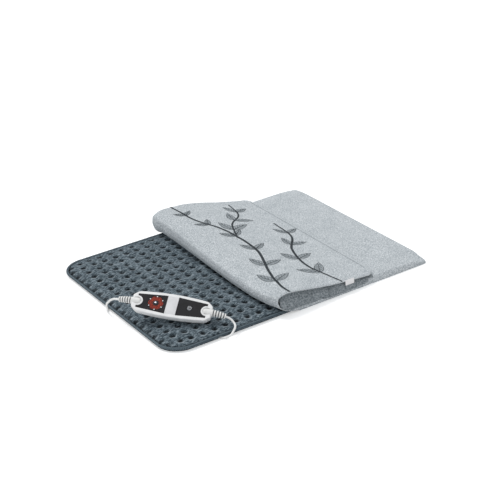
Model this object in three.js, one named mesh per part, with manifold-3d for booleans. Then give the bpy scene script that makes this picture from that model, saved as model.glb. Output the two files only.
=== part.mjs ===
// Heating pad with a hand controller, lying flat with its cover turned back.
// Millimetres, +Z up. The origin is on the table, under the middle of the pad and cover.
import * as THREE from 'three';
import { mergeVertices } from 'three/addons/utils/BufferGeometryUtils.js';
import Module from 'manifold-3d';

const wasm = await Module();
wasm.setup();

// Driving dimensions, shared by all pieces
const padLength = 432;
const padWidth = 330;
const padCornerRadius = 36;
const clearance = 0.3;
const overrun = 1;

// Pad: a quilted top, a backing, a rolled edge, and the heating layer between them
const pad = {
  backingThickness: 4.6,
  crownHeight: 11.3,
  tuftHeight: 7.7,
  edgeHeight: 6.2,
  crownSlope: 0.19,
  tuftSlope: 0.09,
  endBand: 7.5,
  sideBand: 16,
  tuftPitchX: 18.1,
  tuftPitchY: 17.4,
  pipingRadius: 1.5,
  pipingHeight: 5.2,
  grooveWidth: 4.6,
  grooveHeight: 3.8,
};
const heating = {
  edgeDistance: 24,
  pocketDepth: 2.3,
  carrierThickness: 0.5,
  wireRadius: 0.6,
  wirePitch: 25,
  wireMargin: 9,
  sensorLength: 9,
  sensorWidth: 4,
  sensorHeight: 1.1,
  sensorY: 6.2,
};

// Cover: an under sheet, and an upper sheet that is turned back over itself in a soft roll
const cover = {
  thickness: 1.6,
  liningThickness: 1.4,
  underThickness: 1.6,
  underStartX: -8,
  padGap: 1,
  endSlack: 1.5,
  cornerRadius: 7,
  foldXFront: -43,
  foldXBack: -50,
  riseFront: 22.6,
  riseBack: 34.4,
  flapEndX: 124,
  flapCornerRadius: 12,
  liningEdge: 6,
  tabLength: 15,
  tabDrop: 8,
  tabThickness: 0.9,
  tabX: 79,
  gussetThickness: 1.4,
  gussetGap: 0.5,
  gussetMouth: 2.4,
};

// Controller: shells, panels, keys and board, in its own frame: U along it, V across, W up
const body = {
  length: 111,
  width: 36,
  shoulderWidth: 29.5,
  shoulderRun: 6.9,
  shoulderSoftening: 2.4,
  neckWidth: 17,
  topDepth: 6,
  topRound: 1.6,
  hullDepth: 10,
  seam: 0.3,
  wall: 1.8,
  roof: 2.2,
  pocketDepth: 1.3,
};
const panel = {
  bandShare: 0.14054054054,
  endInset: 7,
  innerWidth: 27.3,
  outerWidth: 20.8,
  thickness: 1,
  notchGap: 1.6,
};
const ring = {
  radius: 11.2,
  inwards: 1.8,
  margin: 0.6,
  lampCircle: 10,
  lampRadius: 0.8,
  lampRise: 0.2,
  lampCount: 6,
  guideWidth: 2,
  guideThickness: 0.8,
};
const key = {
  levelRadius: 3.8,
  powerRadius: 3.4,
  powerOutwards: 0.8,
  rise: 0.5,
  travel: 0.6,
  flangeRadius: 5.4,
  flangeThickness: 0.8,
  rimRound: 0.5,
};
const board = {
  endGap: 0.5,
  edgeMargin: 0.7,
  thickness: 1.6,
  top: -7.6,
};
const screw = {
  endMargin: 18,
  v: 10.6,
  headRadius: 2.1,
  headHeight: 1.6,
  shankRadius: 1.1,
  tipHeight: -4.6,
  seatHeight: -12.2,
  bossRadius: 2.8,
};
const boot = {
  axisHeight: -3.6,
  domeRadius: 6.2,
  seatDepth: 13.5,
  neckOut: 1.5,
  neckRadius: 4.6,
  tailLength: 17,
  tailRadius: 2.4,
  leftDroop: 2.5,
  rightDroop: 3.5,
  ribDepth: 0.7,
  ribCount: 6,
  sides: 12,
};
const controllerPlace = { x: -169.7, y: -97.4 };
const controllerTurn = THREE.MathUtils.degToRad(-45.2);
const controllerDip = THREE.MathUtils.degToRad(7.1);
const controllerTilt = THREE.MathUtils.degToRad(32);

// Leads, coil and plug
const lead = {
  radius: 1.5,
  sides: 8,
  fineSteps: 600,
  bendStep: THREE.MathUtils.degToRad(20),
  longestStep: 40,
};
const coil = {
  x: -1.5,
  innerRadius: 13.6,
  pitch: 3.8,
  layerRise: 3.8,
  turnsEachWay: 2.75,
  stepsPerTurn: 20,
  sides: 6,
  tieThickness: 0.8,
  tieWidth: 9,
};
const plug = {
  bootTipX: 30.4,
  bootLength: 13,
  bootRadius: 4.6,
  length: 36,
  width: 35.3,
  frontWidth: 26.1,
  thickness: 13.7,
  pinLength: 19,
  pinRadius: 2,
  pinSpacing: 18.6,
  round: 3,
};

// Derived places
const edgeInset = 2 * pad.pipingRadius + clearance;
const quiltBottom = pad.backingThickness + clearance;
const coverRefHeight = pad.crownHeight + clearance;
const coverRimHeight = cover.underThickness + clearance;
const coverHalfX = padLength / 2 + cover.padGap + cover.endSlack;
const coverHalfY = padWidth / 2 + cover.padGap;
const coverInnerRadius = padCornerRadius - cover.padGap;
const rimOutside = cover.padGap + cover.thickness;
const flapStack = 2 * cover.thickness + 2 * cover.liningThickness + 3 * clearance;
const halfBody = body.length / 2;
const shoulderReach = halfBody - body.shoulderRun;
const bootTip = halfBody - boot.seatDepth;
const bootNeck = halfBody + boot.neckOut;
const panelInner = panel.bandShare * halfBody;
const panelReach = halfBody - panel.endInset;
const panelMiddle = (panelInner + bootTip - panel.notchGap) / 2;
const ringU = -Math.max(panelInner + ring.margin + ring.radius, panelMiddle - ring.inwards);
const powerU = panelMiddle + key.powerOutwards;
const screwU = halfBody - screw.endMargin;
const boardHalf = bootTip - board.endGap;

const object = new THREE.Group();
const padGroup = new THREE.Group();
object.add(padGroup);
const controller = new THREE.Group();
padGroup.add(controller);

function addPart(name, geometry, colour, roughness, parent = padGroup, metalness = 0) {
  const material = new THREE.MeshStandardMaterial({ color: colour, roughness, metalness });
  const mesh = new THREE.Mesh(geometry, material);
  mesh.name = name;
  parent.add(mesh);
  return mesh;
}

// Closed solids from points and triangles, and their joins and cuts
function solidFrom(points, triangles) {
  const geometry = new THREE.BufferGeometry();
  const flat = points.flatMap((p) => [p.x, p.y, p.z]);
  geometry.setAttribute('position', new THREE.Float32BufferAttribute(flat, 3));
  geometry.setIndex(triangles);
  return geometry;
}

function toManifold(geometry) {
  const bare = geometry.clone();
  bare.deleteAttribute('normal');
  bare.deleteAttribute('uv');
  const merged = mergeVertices(bare);
  return new wasm.Manifold(new wasm.Mesh({
    numProp: 3,
    vertProperties: new Float32Array(merged.attributes.position.array),
    triVerts: new Uint32Array(merged.index.array),
  }));
}

function fromManifold(manifold) {
  const mesh = manifold.getMesh();
  const geometry = new THREE.BufferGeometry();
  geometry.setAttribute('position', new THREE.BufferAttribute(mesh.vertProperties, 3));
  geometry.setIndex(new THREE.BufferAttribute(mesh.triVerts, 1));
  return geometry;
}

function cut(geometry, ...tools) {
  return fromManifold(tools.reduce((rest, tool) => rest.subtract(toManifold(tool)), toManifold(geometry)));
}

function join(geometry, ...others) {
  return fromManifold(others.reduce((sum, other) => sum.add(toManifold(other)), toManifold(geometry)));
}

function overlapOf(geometry, other) {
  return fromManifold(toManifold(geometry).intersect(toManifold(other)));
}

// Rings of equal point counts, joined one to the next and closed by flat ends
function loft(rings) {
  const count = rings[0].length;
  const triangles = [];
  for (let r = 0; r + 1 < rings.length; r++) {
    for (let k = 0; k < count; k++) {
      const a = r * count + k;
      const b = r * count + (k + 1) % count;
      triangles.push(a, b, b + count, a, b + count, a + count);
    }
  }
  const last = (rings.length - 1) * count;
  const endFaces = (ringPoints) => THREE.ShapeUtils.triangulateShape(ringPoints.map((p) => new THREE.Vector2(p.x, p.y)), []);
  endFaces(rings[0]).forEach(([a, b, c]) => triangles.push(a, c, b));
  endFaces(rings[rings.length - 1]).forEach(([a, b, c]) => triangles.push(last + a, last + b, last + c));
  return solidFrom(rings.flat(), triangles);
}

function prism(outline, bottom, top) {
  const shape = new THREE.Shape(outline);
  const geometry = new THREE.ExtrudeGeometry(shape, { depth: top - bottom, bevelEnabled: false });
  return geometry.translate(0, 0, bottom);
}

function box(length, width, bottom, top, x = 0, y = 0) {
  return new THREE.BoxGeometry(length, width, top - bottom).translate(x, y, (top + bottom) / 2);
}

function upright(radius, bottom, top, x = 0, y = 0, sides = 20) {
  const geometry = new THREE.CylinderGeometry(radius, radius, top - bottom, sides);
  return geometry.rotateX(Math.PI / 2).translate(x, y, (top + bottom) / 2);
}

// A profile of [radius, height] pairs turned about the upright axis
function turned(profile, sides = 20) {
  const points = profile.map(([radius, height]) => new THREE.Vector2(radius, height));
  return new THREE.LatheGeometry(points, sides).rotateX(Math.PI / 2);
}

// A curve that passes its listed points at equal steps, so that a tube has a ring at each
class PointRoute extends THREE.Curve {
  constructor(points) {
    super();
    this.points = points;
  }

  getPoint(share) {
    const place = share * (this.points.length - 1);
    const index = Math.min(Math.floor(place), this.points.length - 2);
    return this.points[index].clone().lerp(this.points[index + 1], place - index);
  }

  getPointAt(share) {
    return this.getPoint(share);
  }

  getTangentAt(share) {
    const last = this.points.length - 1;
    const index = Math.round(share * last);
    const before = this.points[Math.max(index - 1, 0)];
    return this.points[Math.min(index + 1, last)].clone().sub(before).normalize();
  }
}

function tubeAlong(points, sides, radius = lead.radius) {
  const section = new THREE.Shape();
  for (let k = 0; k < sides; k++) {
    const angle = 2 * Math.PI * k / sides;
    const move = k ? 'lineTo' : 'moveTo';
    section[move](radius * Math.cos(angle), radius * Math.sin(angle));
  }
  const route = new PointRoute(points);
  return new THREE.ExtrudeGeometry(section, { steps: points.length - 1, extrudePath: route, bevelEnabled: false });
}

// A rectangle with rounded corners: a point given in the sharp rectangle moves in at a corner
function roundedPoint(x, y, halfX, halfY, radius) {
  const a = halfX - Math.abs(x);
  const b = halfY - Math.abs(y);
  if (a >= radius || b >= radius) return [x, y];
  const inset = Math.min(a, b);
  const reach = radius - inset;
  const turn = reach > 0 ? (Math.PI / 4) * (radius - Math.max(a, b)) / reach : 0;
  const [near, far] = [reach * Math.cos(turn), reach * Math.sin(turn)];
  const [outX, outY] = a <= b ? [near, far] : [far, near];
  return [Math.sign(x) * (halfX - radius + outX), Math.sign(y) * (halfY - radius + outY)];
}

function roundedOutline(halfX, halfY, radius, arcSteps) {
  const points = [];
  for (let corner = 0; corner < 4; corner++) {
    const centreX = (corner === 0 || corner === 3 ? 1 : -1) * (halfX - radius);
    const centreY = (corner < 2 ? 1 : -1) * (halfY - radius);
    for (let k = 0; k <= arcSteps; k++) {
      const angle = (corner + k / arcSteps) * Math.PI / 2;
      points.push(new THREE.Vector2(centreX + radius * Math.cos(angle), centreY + radius * Math.sin(angle)));
    }
  }
  return points;
}

// The quilted top: tufts in a square grid, a crown in the middle of each field
function evenLines(length, pitch, band) {
  const count = Math.floor((length - 2 * band) / pitch) + 1;
  const first = -(count - 1) * pitch / 2;
  const half = length / 2 - edgeInset;
  return [-half, ...Array.from({ length: count }, (_, k) => first + k * pitch), half];
}

function makeQuilt() {
  const linesX = evenLines(padLength, pad.tuftPitchX, pad.endBand);
  const linesY = evenLines(padWidth, pad.tuftPitchY, pad.sideBand);
  const halfX = padLength / 2 - edgeInset;
  const halfY = padWidth / 2 - edgeInset;
  const radius = padCornerRadius - edgeInset;
  const [lastX, lastY] = [linesX.length - 1, linesY.length - 1];
  const points = [];
  const triangles = [];
  const heightAt = (x, y, slope, most) => {
    const inwards = Math.min(halfX - Math.abs(x), halfY - Math.abs(y));
    return Math.min(most, pad.edgeHeight + slope * inwards);
  };
  const grid = linesX.map((x) => linesY.map((y) => {
    const height = heightAt(x, y, pad.tuftSlope, pad.tuftHeight);
    return points.push(new THREE.Vector3(...roundedPoint(x, y, halfX, halfY, radius), height)) - 1;
  }));
  for (let i = 0; i < lastX; i++) {
    for (let j = 0; j < lastY; j++) {
      const corners = [grid[i][j], grid[i + 1][j], grid[i + 1][j + 1], grid[i][j + 1]];
      const middle = new THREE.Vector3();
      corners.forEach((corner) => middle.addScaledVector(points[corner], 1 / corners.length));
      middle.z = heightAt((linesX[i] + linesX[i + 1]) / 2, (linesY[j] + linesY[j + 1]) / 2, pad.crownSlope, pad.crownHeight);
      const crown = points.push(middle) - 1;
      corners.forEach((corner, k) => triangles.push(corner, corners[(k + 1) % 4], crown));
    }
  }
  const rim = [];
  for (let i = 0; i < lastX; i++) rim.push(grid[i][0]);
  for (let j = 0; j < lastY; j++) rim.push(grid[lastX][j]);
  for (let i = lastX; i > 0; i--) rim.push(grid[i][lastY]);
  for (let j = lastY; j > 0; j--) rim.push(grid[0][j]);
  const below = rim.map((index) => points.push(points[index].clone().setZ(quiltBottom)) - 1);
  rim.forEach((top, k) => {
    const next = (k + 1) % rim.length;
    triangles.push(top, below[k], below[next], top, below[next], rim[next]);
  });
  const flat = below.map((index) => new THREE.Vector2(points[index].x, points[index].y));
  THREE.ShapeUtils.triangulateShape(flat, []).forEach(([a, b, c]) => triangles.push(below[a], below[c], below[b]));
  const pocketX = padLength - 2 * heating.edgeDistance;
  const pocketY = padWidth - 2 * heating.edgeDistance;
  const pocket = box(pocketX, pocketY, quiltBottom - overrun, quiltBottom + heating.pocketDepth);
  return cut(solidFrom(points, triangles), pocket);
}

// The rolled edge: one closed tube round the pad
function makePiping() {
  const inset = pad.pipingRadius;
  const outline = roundedOutline(padLength / 2 - inset, padWidth / 2 - inset, padCornerRadius - inset, 8);
  const sides = 8;
  const points = [];
  const triangles = [];
  outline.forEach((centre, k) => {
    const before = outline[(k + outline.length - 1) % outline.length];
    const after = outline[(k + 1) % outline.length];
    const outward = new THREE.Vector2(after.y - before.y, before.x - after.x).normalize();
    for (let s = 0; s < sides; s++) {
      const angle = 2 * Math.PI * s / sides;
      const reach = inset * Math.cos(angle);
      points.push(new THREE.Vector3(
        centre.x + outward.x * reach,
        centre.y + outward.y * reach,
        pad.pipingHeight + inset * Math.sin(angle),
      ));
    }
    for (let s = 0; s < sides; s++) {
      const a = k * sides + s;
      const b = k * sides + (s + 1) % sides;
      const far = ((k + 1) % outline.length) * sides - k * sides;
      triangles.push(a, a + far, b + far, a, b + far, b);
    }
  });
  return solidFrom(points, triangles);
}

// A groove or ribbon that follows a level route, from one height to another
function ribbon(route, width, bottom, top) {
  const left = [];
  const right = [];
  route.forEach((point, k) => {
    const before = route[Math.max(k - 1, 0)];
    const after = route[Math.min(k + 1, route.length - 1)];
    const side = new THREE.Vector2(before.y - after.y, after.x - before.x).setLength(width / 2);
    left.push(new THREE.Vector2(point.x + side.x, point.y + side.y));
    right.push(new THREE.Vector2(point.x - side.x, point.y - side.y));
  });
  return prism([...right, ...left.reverse()], bottom, top);
}

// The controller's frame, needed early because the leads start at its boots
const attitude = new THREE.Matrix4().makeRotationZ(controllerTurn);
attitude.multiply(new THREE.Matrix4().makeRotationY(controllerDip));
attitude.multiply(new THREE.Matrix4().makeRotationX(controllerTilt));

// A corner taken back to three points on a short curve
function softened(before, corner, after, reach) {
  const start = corner.clone().lerp(before, reach / corner.distanceTo(before));
  const end = corner.clone().lerp(after, reach / corner.distanceTo(after));
  const middle = start.clone().lerp(end, 1 / 2).lerp(corner, 1 / 2);
  return [start, middle, end];
}

// Outline of the controller seen from above: bulged long sides, soft shoulders, square necks
function bodyOutline(inset, scaleU = 1, scaleV = 1) {
  const sideSteps = 6;
  const shoulder = shoulderReach - inset / 2;
  const [middleV, shoulderV] = [body.width / 2 - inset, body.shoulderWidth / 2 - inset];
  const neck = new THREE.Vector2(halfBody - inset, body.neckWidth / 2 - inset / 2);
  const half = [neck];
  for (let k = 0; k <= sideSteps; k++) {
    const share = 1 - 2 * k / sideSteps;
    half.push(new THREE.Vector2(shoulder * share, middleV - (middleV - shoulderV) * share * share));
  }
  half.push(new THREE.Vector2(-neck.x, neck.y));
  const soft = half.flatMap((p, k) => {
    const onShoulder = k === 1 || k === half.length - 2;
    return onShoulder ? softened(half[k - 1], p, half[k + 1], body.shoulderSoftening) : [p.clone()];
  });
  const all = [...soft, ...soft.map((p) => p.clone().negate())];
  return all.map((p) => p.multiply(new THREE.Vector2(scaleU, scaleV)));
}

function ringAt(outline, height) {
  return outline.map((p) => new THREE.Vector3(p.x, p.y, height));
}

// The hull narrows downwards on a quarter ellipse
const hullNarrowShare = 0.62;
const hullShortShare = 0.2;
function hullLoft(inset, top, depth) {
  const steps = 6;
  const rings = [];
  for (let k = steps; k >= 0; k--) {
    const angle = Math.PI / 2 * k / steps;
    const drawn = 1 - Math.cos(angle);
    const outline = bodyOutline(inset, 1 - hullShortShare * drawn, 1 - hullNarrowShare * drawn);
    rings.push(ringAt(outline, top - depth * Math.sin(angle)));
  }
  return loft(rings);
}

const hullTop = -body.topDepth - body.seam;
const hullSolid = hullLoft(0, hullTop, body.hullDepth);

// The controller rests on the quilt's crowns with the lowest point of its curved back
function lowestOf(geometry, matrix) {
  const turnedCopy = geometry.clone().applyMatrix4(matrix);
  turnedCopy.computeBoundingBox();
  return turnedCopy.boundingBox.min.z;
}
const controllerHeight = pad.crownHeight + clearance - lowestOf(hullSolid, attitude);
controller.applyMatrix4(attitude);
controller.position.set(controllerPlace.x, controllerPlace.y, controllerHeight);
controller.updateMatrix();

const droopOf = (side) => (side < 0 ? boot.leftDroop : boot.rightDroop);
function leadDirection(side) {
  const along = new THREE.Vector3(side * boot.tailLength, 0, -2 * droopOf(side));
  return along.transformDirection(controller.matrix);
}
function leadExit(side) {
  const end = new THREE.Vector3(side * (bootNeck + boot.tailLength), 0, boot.axisHeight - droopOf(side));
  return end.applyMatrix4(controller.matrix).addScaledVector(leadDirection(side), clearance);
}

// Routes of the two leads in the pad's frame: from the boot, over the edge, then under the pad
function smoothRoute(start, direction, places) {
  const straight = start.clone().addScaledVector(direction, 2 * lead.radius);
  const points = [start, straight, ...places.map((p) => new THREE.Vector3(...p))];
  return new THREE.CatmullRomCurve3(points, false, 'centripetal');
}

// Points along a smooth route, close together in its bends and far apart where it runs straight
function routePoints(route) {
  const fine = route.getSpacedPoints(lead.fineSteps);
  fine.forEach((p) => p.setZ(Math.max(p.z, onTable)));
  const kept = [fine[0]];
  let turned = 0;
  let run = 0;
  for (let k = 1; k + 1 < fine.length; k++) {
    const before = fine[k].clone().sub(fine[k - 1]);
    turned += before.angleTo(fine[k + 1].clone().sub(fine[k]));
    run += before.length();
    if (turned > lead.bendStep || run > lead.longestStep || kept.length === 1 && run > lead.radius) {
      kept.push(fine[k]);
      turned = 0;
      run = 0;
    }
  }
  return [...kept, fine[fine.length - 1]];
}

const onTable = lead.radius;
const padLeadPlaces = [
  [-224.3, -34.4, 37.5], [-227, -29.1, 34.4], [-228, -23.8, 29.6], [-227.4, -17.5, 24.8],
  [-226.5, -12.3, 17.9], [-223.6, -8.4, 11.3], [-221.8, -3.5, 5.3], [-218.6, 3.4, 1.9],
  [-210.1, 10.9, onTable], [-192, 15, onTable], [-161, 16.5, onTable], [-100, 17.5, onTable],
  [-70, 24, onTable], [-62, 40, onTable], [-70, 56, onTable], [-100, 62.5, onTable],
  [-161, 63.5, onTable], [-180, 70, onTable], [-186, 84, onTable], [-180, 98, onTable],
  [-161, 104.5, onTable], [-141, 105, onTable], [-115, 105, onTable],
];
const mainsLeadPlaces = [
  [-110.5, -151, 15.9], [-109.1, -156.2, 12.6], [-111, -162.9, 10.3], [-117.2, -169, 9],
  [-123.5, -171.3, 5.2], [-129.5, -169.6, 2.5], [-134.6, -163.8, onTable], [-135.3, -152.8, onTable],
  [-129.1, -143.3, onTable], [-120, -132.5, onTable], [-105, -129, onTable], [-60, -129, onTable],
  [-46, -115, onTable], [-60, -101, onTable], [-166, -101, onTable], [-176, -97, onTable],
  [-180, -87, onTable], [-176, -77, onTable], [-166, -73, onTable], [-60, -73, onTable],
  [-50, -69, onTable], [-46, -59, onTable], [-50, -49, onTable], [-60, -45, onTable],
  [-166, -45, onTable], [-180, -31, onTable], [-166, -17, onTable], [-72, -17, onTable],
  [-54, -11, onTable], [-45, 3, onTable], [-43, 24, onTable], [-43, 120, onTable],
  [-42.4, 146, onTable], [-38.5, 160, onTable], [-30, 167.8, 1.8], [-18, 169.5, 2.2],
];

function makeBacking(grooveRoutes, inletOutline) {
  const outline = roundedOutline(padLength / 2 - edgeInset, padWidth / 2 - edgeInset, padCornerRadius - edgeInset, 8);
  const slab = prism(outline, 0, pad.backingThickness);
  const recessStart = cover.underStartX - clearance;
  const recess = box(padLength, padWidth, -overrun, coverRimHeight, recessStart + padLength / 2);
  const grooves = grooveRoutes.map((route) => ribbon(route, pad.grooveWidth, -overrun, pad.grooveHeight));
  return cut(slab, recess, ...grooves, prism(inletOutline, -overrun, pad.backingThickness + overrun));
}

// Cover: the skin that faces the pad, then curls into the roll and becomes the flap's outside
const rimInsets = [0, 0.3, 1.6, 6.5, 16, 27];
const rimLevels = [0, 0.34, 0.59, 0.7, 0.84, 1];
const softDrops = rimInsets.map((inset) => (1 - inset / rimInsets[rimInsets.length - 1]) ** 2);
const spanShares = [-0.5, 0, 0.5];
const runXs = [150, 100, 50, 10];
// Run from the fold line, rise, and how far the front and back edges droop
const curlShares = [
  [0.215, 0, 1], [0.15, 0, 0.85], [0.085, 0.01, 0.55], [0.036, 0.1, 0.3], [0.01, 0.28, 0.2],
];
const flapShares = [
  [0, 0.5, 0.12], [0.016, 0.8, 0.1], [0.07, 0.965, 0.1], [0.16, 1, 0.1], [0.3, 0.9, 0.1],
  [0.48, 0.69, 0.12], [0.66, 0.43, 0.16], [0.82, 0.2, 0.25], [0.93, 0.06, 0.3], [1, 0, 0.3],
];

function foldStations(across) {
  const share = (across / coverHalfY + 1) / 2;
  const foldX = THREE.MathUtils.lerp(cover.foldXFront, cover.foldXBack, share);
  const rise = THREE.MathUtils.lerp(cover.riseFront, cover.riseBack, share);
  const run = cover.flapEndX - foldX;
  const curl = curlShares.map(([x, z, droop]) => new THREE.Vector3(foldX + run * x, coverRefHeight + rise * z, droop));
  const flap = flapShares.map(([x, z, droop]) => {
    const height = coverRefHeight + flapStack + (rise - flapStack) * z;
    return new THREE.Vector3(foldX + run * x, height, droop);
  });
  return new THREE.CatmullRomCurve3([...curl, ...flap], false, 'centripetal');
}

// The cloth follows the pad's round corner, and its edge reaches out to the cover's own corner
function coverPoint(x, y) {
  const [roundX, roundY] = roundedPoint(x, y, coverHalfX, coverHalfY, coverInnerRadius);
  const [centreX, centreY] = [coverHalfX - coverInnerRadius, coverHalfY - coverInnerRadius];
  const out = new THREE.Vector2(Math.abs(roundX) - centreX, Math.abs(roundY) - centreY);
  const onEdge = Math.abs(x) === coverHalfX || Math.abs(y) === coverHalfY;
  if (!onEdge || out.x <= 0 || out.y <= 0) return [roundX, roundY];
  out.normalize();
  const inner = coverInnerRadius - cover.cornerRadius;
  const slope = Math.min(out.x, out.y) / Math.max(out.x, out.y);
  const both = inner * (out.x + out.y);
  const onArc = both + Math.sqrt(both ** 2 - 2 * inner ** 2 + cover.cornerRadius ** 2);
  const reach = coverInnerRadius * slope < inner ? coverInnerRadius / Math.max(out.x, out.y) : onArc;
  return [Math.sign(x) * (centreX + reach * out.x), Math.sign(y) * (centreY + reach * out.y)];
}

function makeCoverGrid() {
  const foldSteps = 26;
  const acrossPlaces = [
    ...rimInsets.map((inset, k) => [-(coverHalfY - inset), 1 - rimLevels[k], softDrops[k]]),
    ...spanShares.map((share) => [share * coverHalfY, 0, 0]),
    ...rimInsets.map((inset, k) => [coverHalfY - inset, 1 - rimLevels[k], softDrops[k]]).reverse(),
  ];
  const edgeDepth = coverRefHeight - coverRimHeight;
  const columns = [];
  rimInsets.forEach((inset, k) => columns.push({ x: coverHalfX - inset, sink: 1 - rimLevels[k] }));
  runXs.forEach((x) => columns.push({ x, sink: 0 }));
  const grid = columns.map(({ x, sink }) => acrossPlaces.map(([y, drop]) => {
    const [px, py] = coverPoint(x, y);
    return new THREE.Vector3(px, py, coverRefHeight - edgeDepth * Math.max(sink, drop));
  }));
  const curves = acrossPlaces.map(([y]) => foldStations(y));
  for (let step = 0; step <= foldSteps; step++) {
    grid.push(acrossPlaces.map(([y, drop, softDrop], j) => {
      const station = curves[j].getPoint(step / foldSteps);
      const edgeDrop = station.z * THREE.MathUtils.lerp(softDrop, drop, station.z);
      const fromEnd = cover.flapEndX - station.x;
      const onFlap = step > foldSteps / 2;
      const corner = onFlap ? Math.max(cover.flapCornerRadius - fromEnd, 0) : 0;
      const drawn = cover.flapCornerRadius - Math.sqrt(Math.max(cover.flapCornerRadius ** 2 - corner ** 2, 0));
      const placeY = y * (1 - drawn / coverHalfY);
      return new THREE.Vector3(station.x, placeY, station.y - edgeDepth * edgeDrop);
    }));
  }
  return grid;
}

// The side of each grid point that the cloth's thickness goes to
function gridNormals(grid) {
  return grid.map((row, i) => row.map((point, j) => {
    const along = grid[Math.min(i + 1, grid.length - 1)][j].clone().sub(grid[Math.max(i - 1, 0)][j]);
    const across = row[Math.min(j + 1, row.length - 1)].clone().sub(row[Math.max(j - 1, 0)]);
    return across.cross(along).normalize();
  }));
}

// A cloth of even thickness between two distances from the grid
function clothBetween(grid, normals, near, far) {
  const [rows, columns] = [grid.length, grid[0].length];
  const points = [];
  [far, near].forEach((distance) => {
    grid.forEach((row, i) => row.forEach((p, j) => points.push(p.clone().addScaledVector(normals[i][j], distance))));
  });
  const triangles = [];
  const upper = (i, j) => i * columns + j;
  const lower = (i, j) => (rows + i) * columns + j;
  const quad = (a, b, c, d) => triangles.push(a, b, c, a, c, d);
  for (let i = 0; i + 1 < rows; i++) {
    for (let j = 0; j + 1 < columns; j++) {
      quad(upper(i, j), upper(i, j + 1), upper(i + 1, j + 1), upper(i + 1, j));
      quad(lower(i, j), lower(i + 1, j), lower(i + 1, j + 1), lower(i, j + 1));
    }
    quad(upper(i, 0), upper(i + 1, 0), lower(i + 1, 0), lower(i, 0));
    quad(upper(i + 1, columns - 1), upper(i, columns - 1), lower(i, columns - 1), lower(i + 1, columns - 1));
  }
  for (let j = 0; j + 1 < columns; j++) {
    quad(upper(0, j + 1), upper(0, j), lower(0, j), lower(0, j + 1));
    quad(upper(rows - 1, j), upper(rows - 1, j + 1), lower(rows - 1, j + 1), lower(rows - 1, j));
  }
  return solidFrom(points, triangles);
}

// The plush that closes a mouth of the fold: what lies inside the lining at both of two rows
function makeGusset(rowsAcross, side) {
  const near = cover.thickness + clearance + cover.liningThickness + cover.gussetGap;
  const outer = coverHalfY - rimInsets[2] - clearance;
  const inner = outer - cover.gussetThickness;
  const [bottom, top] = side < 0 ? [inner, outer] : [-outer, -inner];
  const plates = rowsAcross.map((j) => {
    const skin = coverGrid.slice(liningRows[0], liningRows[1] + 1).map((row, i) => {
      const point = row[j].clone().addScaledVector(coverNormals[i + liningRows[0]][j], near);
      return new THREE.Vector2(point.x, point.z);
    });
    const under = (p) => skin.findIndex((q) => q.x < p.x);
    const last = skin.findLastIndex((p) => p.y - skin[under(p)].y > cover.gussetMouth);
    const first = under(skin[last]);
    const mouthEnd = new THREE.Vector2(skin[last].x, skin[first].y);
    return prism([mouthEnd, ...skin.slice(first, last + 1)], bottom, top).rotateX(Math.PI / 2);
  });
  return overlapOf(...plates);
}

// Controller pieces
function panelOutline(side, inset) {
  const arcSteps = 10;
  const notch = boot.domeRadius + panel.notchGap + inset;
  const outer = panelReach - inset;
  const inner = panelInner + inset;
  const [innerV, outerV] = [panel.innerWidth / 2 - inset, panel.outerWidth / 2 - inset];
  const centre = bootTip + boot.domeRadius;
  const half = Math.acos(Math.min((centre - outer) / notch, 1));
  const points = [[inner, innerV], [inner, -innerV], [outer, -outerV]];
  for (let k = 0; k <= arcSteps; k++) {
    const angle = Math.PI + half - 2 * half * k / arcSteps;
    points.push([centre + notch * Math.cos(angle), notch * Math.sin(angle)]);
  }
  points.push([outer, outerV]);
  const placed = points.map(([u, v]) => new THREE.Vector2(side * u, v));
  return side > 0 ? placed.reverse() : placed;
}

function makeBootProfile(grow) {
  const domeSteps = 5;
  const middle = bootTip + boot.domeRadius;
  const profile = [[0, bootTip - grow]];
  for (let k = 1; k <= domeSteps; k++) {
    const angle = Math.PI / 2 * k / domeSteps;
    const reach = boot.domeRadius + grow;
    profile.push([reach * Math.sin(angle), middle - reach * Math.cos(angle)]);
  }
  profile.push([boot.neckRadius + grow, bootNeck]);
  return profile;
}

// Past its neck a boot bends down under the lead's weight
function bootGeometry(profile, side) {
  const geometry = new THREE.LatheGeometry(profile.map(([r, u]) => new THREE.Vector2(r, u)), boot.sides);
  geometry.rotateZ(-side * Math.PI / 2);
  const places = geometry.attributes.position;
  for (let k = 0; k < places.count; k++) {
    const [u, w] = [Math.abs(places.getX(k)), places.getZ(k)];
    const share = Math.max((u - bootNeck) / boot.tailLength, 0);
    const slope = Math.atan(2 * droopOf(side) * share / boot.tailLength);
    places.setX(k, side * (u + w * Math.sin(slope)));
    places.setZ(k, w * Math.cos(slope) - droopOf(side) * share * share);
  }
  return geometry.translate(0, 0, boot.axisHeight);
}

function makeBoot(side) {
  const profile = makeBootProfile(0);
  const rib = boot.tailLength / boot.ribCount;
  for (let k = 0; k < boot.ribCount; k++) {
    const start = bootNeck + k * rib;
    const radiusAt = (u) => THREE.MathUtils.lerp(boot.neckRadius, boot.tailRadius, (u - bootNeck) / boot.tailLength);
    profile.push([radiusAt(start) - boot.ribDepth, start + rib / 4]);
    profile.push([radiusAt(start) - boot.ribDepth, start + rib / 2]);
    profile.push([radiusAt(start + rib), start + 3 * rib / 4]);
    profile.push([radiusAt(start + rib), start + rib]);
  }
  profile.push([0, bootNeck + boot.tailLength]);
  return bootGeometry(profile, side);
}

function bootSpace(side) {
  const profile = makeBootProfile(clearance);
  profile.push([boot.neckRadius + clearance, bootNeck + overrun], [0, bootNeck + overrun]);
  return bootGeometry(profile, side);
}

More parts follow.
